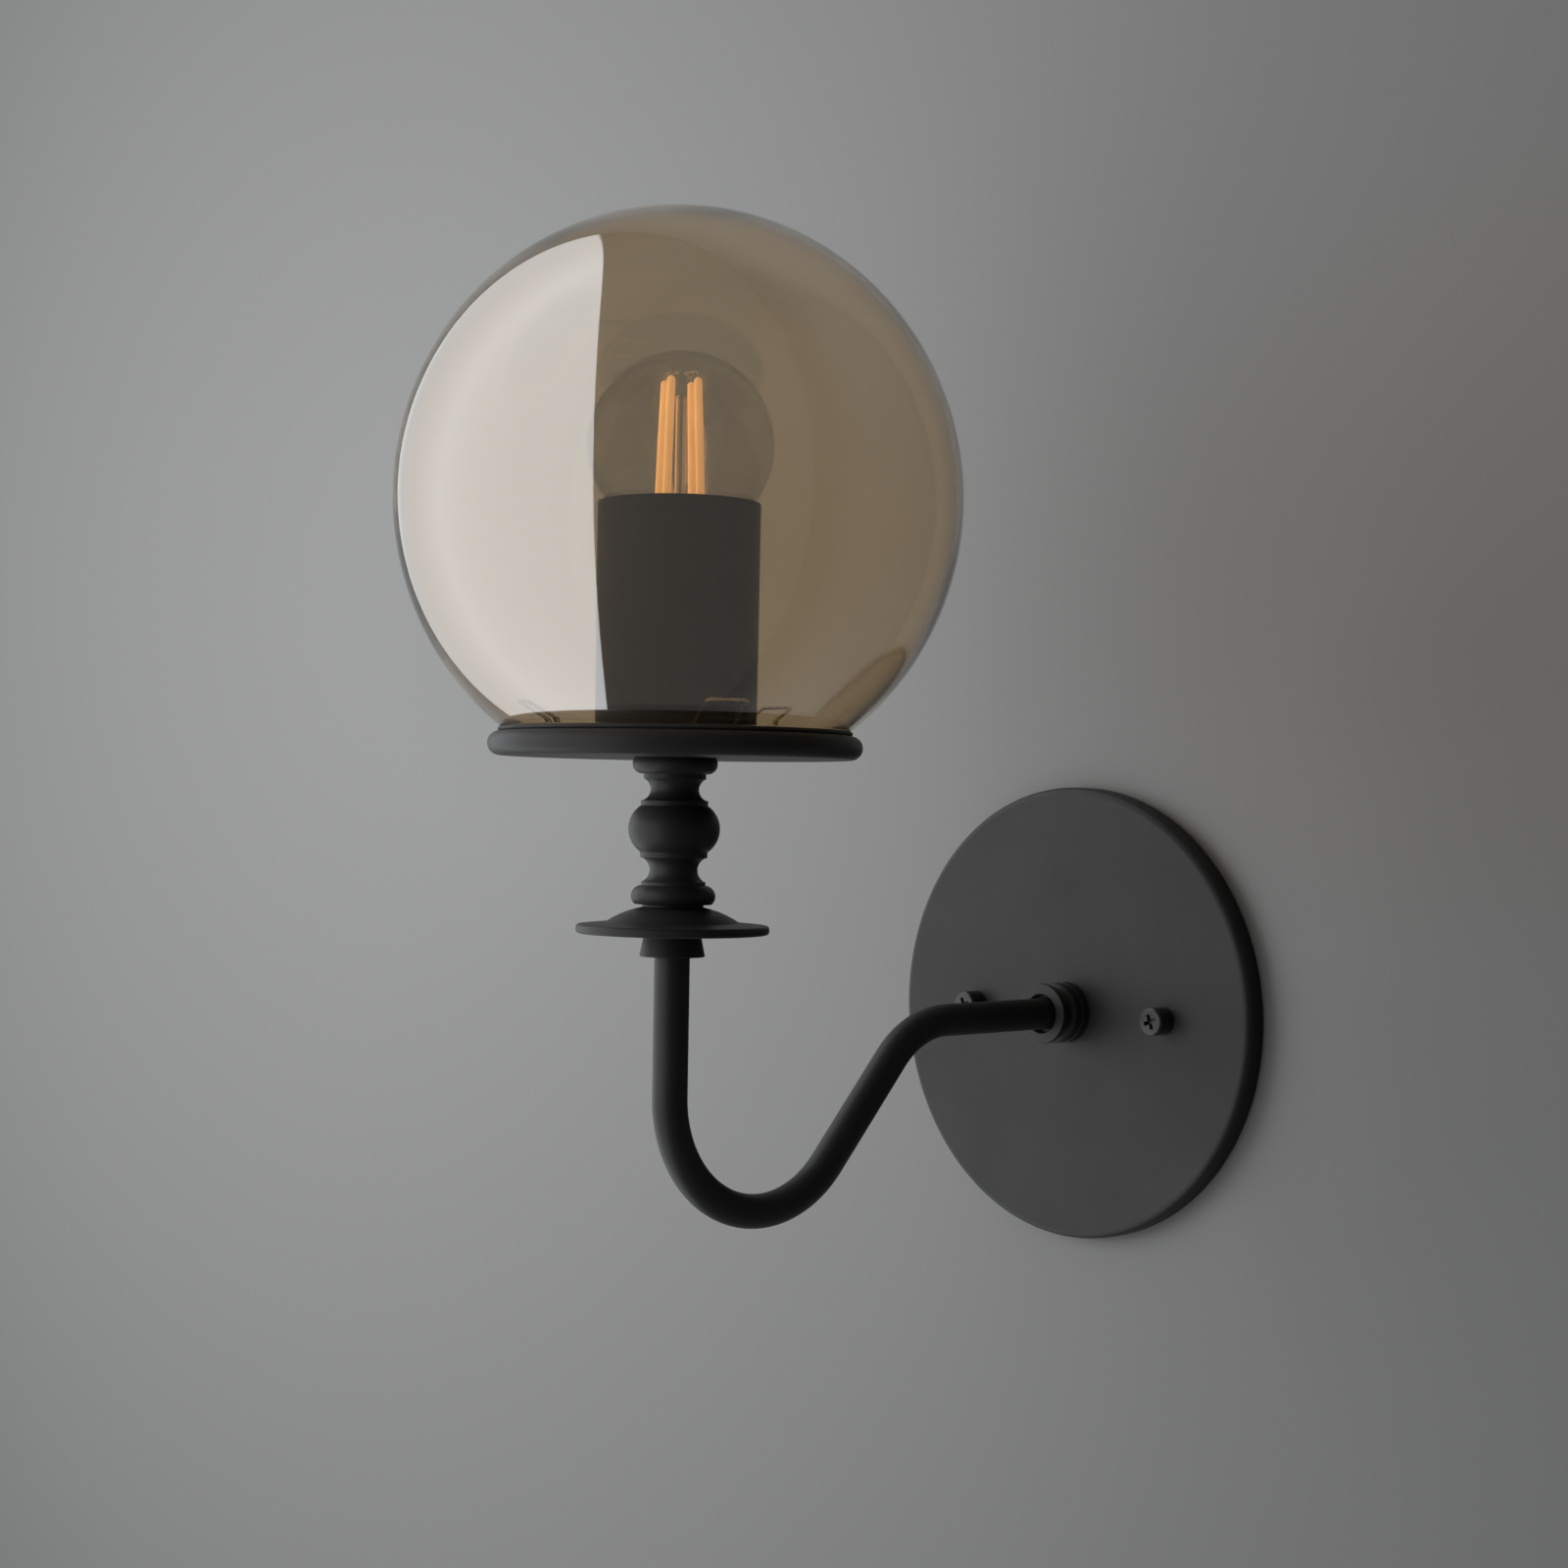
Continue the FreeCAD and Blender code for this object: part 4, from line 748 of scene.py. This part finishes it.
def tray_turning():
    """Round tray with a fully rounded rim and holes for the spring wires."""
    radius, foot, top = stem_sizes("globe_tray")
    half = (top - foot) / 2
    holes = []
    for angle in CLIP_ANGLES:
        for side in (-1, 1):
            hole = cylinder(CLIP_WIRE_R + SLIP_FIT, top - CLIP_HOLE, top + PAST,
                            CLIP_FOOT_RADIUS, side * CLIP_WIDTH / 2, 24)
            hole.transform(Matrix.Rotation(math.radians(angle), 4, "Z"))
            holes.append(hole)
    lathe("tray_turning", "globe_tray", [
        (PIPE_R + SLIP_FIT, foot),
        (radius - half, foot),
        (radius, foot + half, radius - half, top),
        (PIPE_R + SLIP_FIT, top)], sides=256, tools=holes)


def gasket_ring():
    """Soft ring between the tray and the glass."""
    radius, foot, top = stem_sizes("globe_gasket")
    half = (top - foot) / 2
    width = 4.4
    lathe("gasket_ring", "globe_gasket", [
        (radius - width, foot),
        (radius - half, foot),
        (radius, foot + half, radius - half, top),
        (radius - width, top)], sides=256)


def clip_wire(index):
    """Wire bent into a leaning hoop, with both ends set in the tray."""
    half_width, half_height, centre = globe_axes()
    mouth = stem_sizes("glass_globe")[1]
    share = (mouth - centre) / (half_height - GLOBE_WALL)
    mouth_r = (half_width - GLOBE_WALL) * math.sqrt(1 - share * share)
    top_r = mouth_r - CLIP_CLEARANCE - CLIP_WIRE_R
    half = CLIP_WIDTH / 2
    leg = [(CLIP_FOOT_RADIUS, TRAY_TOP - CLIP_ROOT),
           (CLIP_FOOT_RADIUS, TRAY_TOP + CLIP_BEND_R),
           (top_r, TRAY_TOP + CLIP_HEIGHT)]
    corners = [Vector((radius, -half, height)) for radius, height in leg]
    corners += [Vector((radius, half, height)) for radius, height in leg[::-1]]
    mesh = swept(rounded_path(corners, [CLIP_BEND_R] * 4), CLIP_WIRE_R, 20)
    mesh.transform(Matrix.Rotation(math.radians(CLIP_ANGLES[index]), 4, "Z"))
    number = str(index + 1)
    dressed("clip_wire_" + number, mesh, "spring_clip_" + number, place=ON_STEM)


# ---- Globe ------------------------------------------------------------------------------

GLOBE_STEPS = 90
GLOBE_LIP_R = 0.9


def globe_glass():
    """Blown globe, open below, with a fire-polished lip."""
    half_width, half_height, centre = globe_axes()
    foot = stem_sizes("glass_globe")[1]
    outline = []
    for inset, ordered in ((0.0, 1), (GLOBE_WALL, -1)):
        wide, tall = half_width - inset, half_height - inset
        first = math.asin((foot - centre) / tall)
        curve = []
        for i in range(GLOBE_STEPS + 1):
            angle = first + (math.pi / 2 - first) * i / GLOBE_STEPS
            radius = wide * math.cos(angle) if i < GLOBE_STEPS else 0
            curve.append((radius, centre + tall * math.sin(angle), 0))
        outline += curve[::ordered]
    mesh = revolved(softened(outline, GLOBE_LIP_R), 256)
    dressed("globe_glass", mesh, "glass_globe", place=ON_STEM)
    mesh.materials.append(INNER_GLASS)
    middle = Vector((0, -ARM_REACH * MM, centre * MM))
    for face in mesh.polygons:
        if face.normal.dot(face.center - middle) < 0:
            face.material_index = 1


# ---- Socket and bulb --------------------------------------------------------------------

def cup_shell():
    """Deep spun cup with a rounded foot, open above."""
    radius, foot, top = stem_sizes("socket_cup")
    wall = 1.2
    draft = 0.25
    corner = 4.0
    foot_r = radius - draft
    bend = arc_inset(corner)
    inner = corner - wall
    inner_bend = arc_inset(inner)
    floor_top = foot + wall
    lathe("cup_shell", "socket_cup", [
        (PIPE_R + SLIP_FIT, foot),
        (foot_r - corner, foot),
        (foot_r - bend, foot + bend, foot_r, foot + corner),
        (radius, top),
        (radius - wall, top),
        (foot_r - wall, floor_top + inner),
        (foot_r - wall - inner_bend, floor_top + inner_bend, foot_r - wall - inner, floor_top),
        (PIPE_R + SLIP_FIT, floor_top)], sides=224)


def socket_thread():
    """Rolled brass shell whose thread stays outside the bulb's."""
    radius, foot, top = stem_sizes("socket_shell")
    wall = 0.45
    inner = radius - wall
    depth = 0.5
    plain = 0.4
    lathe("socket_thread", "socket_shell", [
        (inner, foot),
        (radius, foot),
        (radius + depth, top - plain, depth),
        (radius, top),
        (inner, top),
        (inner + depth, foot + plain, depth)], sides=96, pitch=BULB_PITCH)


BULB_NECK_R = 12.2
BULB_WALL = 0.8
BULB_LIP_R = 0.2


def bulb_outline(inset, foot, radius, centre):
    """Half outline of the bulb: a straight neck, a hollow curve and the ball, all tangent."""
    neck_r = BULB_NECK_R - inset
    ball_r = radius - inset
    hollow_r = (radius * ROOT_HALF - BULB_NECK_R) / (1 - ROOT_HALF) + inset
    neck_top = centre - (ball_r + hollow_r) * ROOT_HALF
    half_angle = math.radians(22.5)
    return [
        (0, foot),
        (neck_r, foot),
        (neck_r, neck_top),
        (neck_r + hollow_r * (1 - math.cos(half_angle)),
         neck_top + hollow_r * math.sin(half_angle),
         ball_r * ROOT_HALF, centre - ball_r * ROOT_HALF),
        (ball_r, centre, ball_r * ROOT_HALF, centre + ball_r * ROOT_HALF),
        (ball_r * math.sin(half_angle), centre + ball_r * math.cos(half_angle),
         0, centre + ball_r)]


def bulb_ball():
    """Thin clear bulb glass, open at the neck."""
    radius, foot, top = stem_sizes("bulb_envelope")
    outer, inner = (drawn(bulb_outline(inset, foot, radius, top - radius))[1:]
                    for inset in (0, BULB_WALL))
    mesh = revolved(softened(outer + inner[::-1], BULB_LIP_R), 192)
    dressed("bulb_ball", mesh, "bulb_envelope", place=ON_STEM)


MOUNT_ROD_R = 1.45


def mount_glass():
    """Glass mount: a flare sealed in the neck that narrows to a thin rod."""
    radius, foot, top = stem_sizes("bulb_mount")
    flare = foot + 1.0
    waist_r, waist = 4.3, foot + 2.25
    rod = foot + 5.0
    round_off = arc_inset(MOUNT_ROD_R)
    lathe("mount_glass", "bulb_mount", [
        (0, foot),
        (radius, foot),
        (radius, flare),
        (waist_r, waist, MOUNT_ROD_R, rod),
        (MOUNT_ROD_R, top - MOUNT_ROD_R),
        (MOUNT_ROD_R - round_off, top - round_off, 0, top)], sides=64)


def bulb_thread():
    """Rolled screw shell of the bulb, with a plain collar above its thread."""
    radius, foot, top = stem_sizes("bulb_screw_shell")
    wall = 0.35
    inner = radius - wall
    depth = 0.6
    foot_r = 11.0
    shoulder = foot + radius - foot_r
    collar = top - 1.2
    lathe("bulb_thread", "bulb_screw_shell", [
        (foot_r - wall, foot),
        (foot_r, foot),
        (radius, shoulder),
        (radius, collar, depth),
        (radius, top),
        (inner, top),
        (inner, collar),
        (inner, shoulder, depth)], sides=128, pitch=BULB_PITCH)


def button(name, node, foot_r, mid_r, mid_height, sides):
    """Round-edged button under the screw shell, widest at its top."""
    radius, foot, top = stem_sizes(node)
    lathe(name, node, [
        (0, foot),
        (foot_r, foot),
        (mid_r, foot + mid_height, radius, top),
        (0, top)], sides=sides)


FILAMENT_R = 1.15
FILAMENT_LENGTH = 40       # measured upright
FILAMENT_TURN = 18         # degrees from +X to the first of the four
FILAMENT_FOOT_AT = 6.9     # distance of its ends from the bulb's axis
FILAMENT_TOP_AT = 5.2
FILAMENT_TOP_GAP = 8.6     # below the top of the bulb
FILAMENT_EDGE = 0.1        # radius of the small arcs at its grooves
GROOVE_AT = 1.3            # from each end
GROOVE_DEPTH = 0.1


def filament_ends(index):
    """Foot and top of one filament, which leans in a little as it rises."""
    angle = math.radians(FILAMENT_TURN + index * 90)
    top_z = stem_sizes("bulb_envelope")[2] - FILAMENT_TOP_GAP
    around = Vector((math.cos(angle), math.sin(angle), 0))
    return (around * FILAMENT_FOOT_AT + Vector((0, 0, top_z - FILAMENT_LENGTH)),
            around * FILAMENT_TOP_AT + Vector((0, 0, top_z)))


def filament_rods():
    """Four coated rods with domed ends and a fine groove near each end."""
    rods = []
    for index in range(4):
        foot, top = filament_ends(index)
        length = (top - foot).length
        cap = FILAMENT_R * ROOT_HALF
        outline = [(0, -FILAMENT_R), (cap, -cap, FILAMENT_R, 0)]
        for z in (GROOVE_AT, length - GROOVE_AT):
            outline += [(FILAMENT_R, z - GROOVE_DEPTH), (FILAMENT_R - GROOVE_DEPTH, z),
                        (FILAMENT_R, z + GROOVE_DEPTH)]
        outline += [(FILAMENT_R, length), (cap, length + cap, 0, length + FILAMENT_R)]
        rod = revolved(softened(drawn(outline), FILAMENT_EDGE), 32)
        rod.transform(Vector((0, 0, 1)).rotation_difference(top - foot).to_matrix().to_4x4())
        rod.transform(Matrix.Translation(foot))
        rods.append(rod)
    dressed("filament_rods", joined(rods), "led_filaments", place=ON_STEM)


def filament_wires():
    """Wires that hold each filament to the glass mount, at its foot and at its top."""
    wire_r = 0.3
    knee_r = 0.8
    overlap = 0.1
    rise = 1.65
    sunk = 0.2
    wires = []
    for index in range(4):
        foot, top = filament_ends(index)
        for end, lift in ((foot, -1), (top, 1)):
            start = end + Vector((0, 0, lift * (FILAMENT_R - overlap)))
            knee = end + Vector((0, 0, lift * (FILAMENT_R + rise)))
            inward = -Vector((end.x, end.y, 0)).normalized()
            reach = math.hypot(end.x, end.y) - MOUNT_ROD_R + sunk
            path = rounded_path([start, knee, knee + inward * reach], [knee_r])
            wires.append(swept(path, wire_r, 16))
    dressed("filament_wires", joined(wires), "filament_supports", place=ON_STEM)


# ---- Put together -----------------------------------------------------------------------

canopy_pan()
canopy_screw("canopy_screw_left", "cap_screw_left", -1)
canopy_screw("canopy_screw_right", "cap_screw_right", 1)
collar_turning()
threaded_pipe("nipple_thread", "arm_nipple", wall_sizes("arm_nipple"), ON_WALL)
gooseneck()
cone_turning()
bobeche()
baluster_turning()
threaded_pipe("stem_thread", "stem_pipe", stem_sizes("stem_pipe"), ON_STEM)
tray_turning()
gasket_ring()
for clip in range(3):
    clip_wire(clip)
globe_glass()
cup_shell()
socket_thread()
bulb_ball()
mount_glass()
bulb_thread()
button("bulb_button", "bulb_insulator", foot_r=6.0, mid_r=9.8, mid_height=1.5, sides=96)
button("bulb_solder", "bulb_tip", foot_r=2.8, mid_r=4.3, mid_height=0.65, sides=64)
filament_rods()
filament_wires()

for node, solid in NODES.items():
    if not solid.hide_render:
        solid.data.materials.clear()
        solid.data.materials.append(MATERIALS[SLOT_OF[node]])


# ---- Studio -----------------------------------------------------------------------------

MATT = 0.85                # roughness
WALL_PAINT = (0.170, 0.169, 0.167)
FLOOR_PAINT = (0.45, 0.45, 0.45)
SHOWN_GREY = (0.42, 0.42, 0.42, 1)
PANEL_RINGS = ((0, 0, 0.066), (-0.15, 0.06, 1.0))    # x, z and radius of the hole and the edge
PANEL_GAP = 0.0005         # behind the canopy's back
PAINTED_LIGHT_SPOT = (-0.3, 0, 0.15)    # where the painted light on the wall is brightest, so its colour is palest there
PAINTED_SHADE_SPAN = (0.1, 0.8)     # distances from there over which the painted shade darkens it
# How deep the painted shade goes, and the dark colour that it paints in.
PAINTED_SHADE_SHARE = 0.85
PAINTED_SHADE_COLOUR = (0.03, 0.03, 0.03)
FLOOR_CORNERS = [(-20, -38, -1.7), (20, -38, -1.7), (20, 2, -1.7), (-20, 2, -1.7)]
FLOOR_GLOW = 0.75


def pale_tint(graph, colour):
    """A faintly uneven pale colour."""
    return graph.graded(graph.noise(3, 2), [share * 0.985 for share in colour], colour)


def wall_paint_with_painted_shade():
    """Matt paint, see-through from behind, with painted shade: its colour darkens away from the
    lamp's side as a painted falloff of light.
    """
    graph = Graph("backdrop_paint_with_painted_shade")
    # Painted shade: the colour darkens with distance from the spot where the painted light is
    # brightest.
    away = graph.add("VectorMath", {0: graph.place, 1: PAINTED_LIGHT_SPOT}, operation="DISTANCE")
    shade = graph.ranged(away.outputs["Value"], 0.0, PAINTED_SHADE_SHARE, PAINTED_SHADE_SPAN)
    tint = graph.tinted(shade, pale_tint(graph, WALL_PAINT), PAINTED_SHADE_COLOUR)
    shader = graph.add("BsdfPrincipled", {"Base Color": tint, "Roughness": MATT})
    behind = graph.add("NewGeometry").outputs["Backfacing"]
    return graph.done(graph.mixed(behind, shader, graph.add("BsdfTransparent")))


def floor_paint():
    """Matt paint that stays pale for the camera where the lamps don't reach."""
    graph = Graph("floor_paint")
    tint = pale_tint(graph, FLOOR_PAINT)
    shader = graph.add("BsdfPrincipled", {"Base Color": tint, "Roughness": MATT})
    glow = graph.add("Emission", {"Color": SHOWN_GREY, "Strength": 1.0})
    seen = graph.add("LightPath").outputs["Is Camera Ray"]
    share = graph.add("Math", {0: seen, 1: FLOOR_GLOW}, operation="MULTIPLY").outputs[0]
    return graph.done(graph.mixed(share, shader, glow))


def staged(name, mesh, material):
    """A floor or backdrop."""
    mesh.materials.append(material)
    shown = bpy.data.objects.new(name, mesh)
    bpy.context.scene.collection.objects.link(shown)
    return shown


def backdrop():
    """A wall with painted shade, as a round panel wider than the camera's view, open behind the
    canopy.
    """
    built = bmesh.new()
    sides = 128
    angles = [math.tau * side / sides for side in range(sides)]
    inner, outer = ([built.verts.new((x + radius * math.cos(angle), PANEL_GAP,
                                      z + radius * math.sin(angle))) for angle in angles]
                    for x, z, radius in PANEL_RINGS)
    for side in range(-1, sides - 1):
        built.faces.new([inner[side], inner[side + 1], outer[side + 1], outer[side]])
    mesh = bpy.data.meshes.new("backdrop")
    built.to_mesh(mesh)
    built.free()
    if mesh.polygons[0].normal.y > 0:
        mesh.flip_normals()
    staged("backdrop", mesh, wall_paint_with_painted_shade())


def floor():
    """Plain pale floor, which leaves no horizon in the glass."""
    mesh = bpy.data.meshes.new("floor")
    mesh.from_pydata(FLOOR_CORNERS, [], [(0, 1, 2, 3)])
    shown = staged("floor", mesh, floor_paint())
    shown.visible_glossy = False
    shown.visible_transmission = False


GLOBE_MIDDLE = Vector((0, -0.167, 0.143))
LAMP_SIDE = Vector((-0.793, -0.609, 0))    # direction from the globe to the broad lamp
RAISED = Vector((0, 0, 0.1))
LAMP_COLOUR = (0.985, 1.0, 1.015)


def round_light(name, toward, distance, spread, radiance, mirrored=True):
    """A soft round lamp, not seen itself, that covers a spread of degrees either side of a
    direction from the globe. Its mirror image in a ball ends on a straight line."""
    data = bpy.data.lights.new(name, "AREA")
    data.shape = "DISK"
    radius = distance * math.tan(math.radians(spread))
    data.size = 2 * radius
    data.energy = math.pi ** 2 * radius ** 2 * radiance
    data.color = LAMP_COLOUR
    lamp = bpy.data.objects.new(name, data)
    bpy.context.scene.collection.objects.link(lamp)
    facing = (-toward).to_track_quat("-Z", "Y")
    lamp.matrix_world = (Matrix.Translation(GLOBE_MIDDLE + toward.normalized() * distance)
                         @ facing.to_matrix().to_4x4())
    lamp.visible_camera = False
    lamp.visible_transmission = False
    lamp.visible_glossy = mirrored


CAMERA_ANGLES = (47.32, -0.53, 0.91)    # azimuth, elevation and roll
CAMERA_PLACE = (0.5113, -0.5988, 0.0623)
SENSOR_WIDTH = 36
LENS = 57.375


def camera():
    """The photograph's view."""
    azimuth, elevation, roll = (math.radians(angle) for angle in CAMERA_ANGLES)
    back = Vector((math.sin(azimuth) * math.cos(elevation),
                   -math.cos(azimuth) * math.cos(elevation), math.sin(elevation)))
    right = Vector((math.cos(azimuth), math.sin(azimuth), 0))
    up = right.cross(-back)
    across = right * math.cos(roll) + up * math.sin(roll)
    upward = up * math.cos(roll) - right * math.sin(roll)
    data = bpy.data.cameras.new("camera")
    data.lens = LENS
    data.sensor_width = SENSOR_WIDTH
    shown = bpy.data.objects.new("camera", data)
    bpy.context.scene.collection.objects.link(shown)
    shown.matrix_world = (Matrix.Translation(CAMERA_PLACE)
                          @ Matrix((across, upward, back)).transposed().to_4x4())
    bpy.context.scene.camera = shown


WORLD_DIM = 0.03
WORLD_SEEN = {"Is Transmission Ray": 0.35, "Is Glossy Ray": 0.12}    # share of the pale world


def world():
    """Dim soft light all round, and a pale background for the camera and the glass."""
    studio = bpy.data.worlds.new("studio")
    studio.use_nodes = True
    tree = studio.node_tree
    tree.nodes.clear()
    path = tree.nodes.new("ShaderNodeLightPath")
    seen = path.outputs["Is Camera Ray"]
    for ray, share in WORLD_SEEN.items():
        partly = tree.nodes.new("ShaderNodeMath")
        partly.operation = "MULTIPLY"
        partly.inputs[1].default_value = share
        tree.links.new(path.outputs[ray], partly.inputs[0])
        most = tree.nodes.new("ShaderNodeMath")
        most.operation = "MAXIMUM"
        tree.links.new(seen, most.inputs[0])
        tree.links.new(partly.outputs[0], most.inputs[1])
        seen = most.outputs[0]
    mix = tree.nodes.new("ShaderNodeMixShader")
    tree.links.new(seen, mix.inputs["Fac"])
    for slot, colour, strength in ((1, (1, 1, 1, 1), WORLD_DIM), (2, SHOWN_GREY, 1.0)):
        glow = tree.nodes.new("ShaderNodeBackground")
        glow.inputs["Color"].default_value = colour
        glow.inputs["Strength"].default_value = strength
        tree.links.new(glow.outputs[0], mix.inputs[slot])
    output = tree.nodes.new("ShaderNodeOutputWorld")
    tree.links.new(mix.outputs[0], output.inputs["Surface"])
    bpy.context.scene.world = studio


backdrop()
floor()
round_light("broad_light", LAMP_SIDE, distance=0.84, spread=69.5, radiance=1.6)
round_light("key_light", LAMP_SIDE + RAISED, distance=2.2, spread=20, radiance=8, mirrored=False)
camera()
world()
bpy.context.scene.view_settings.view_transform = "Standard"
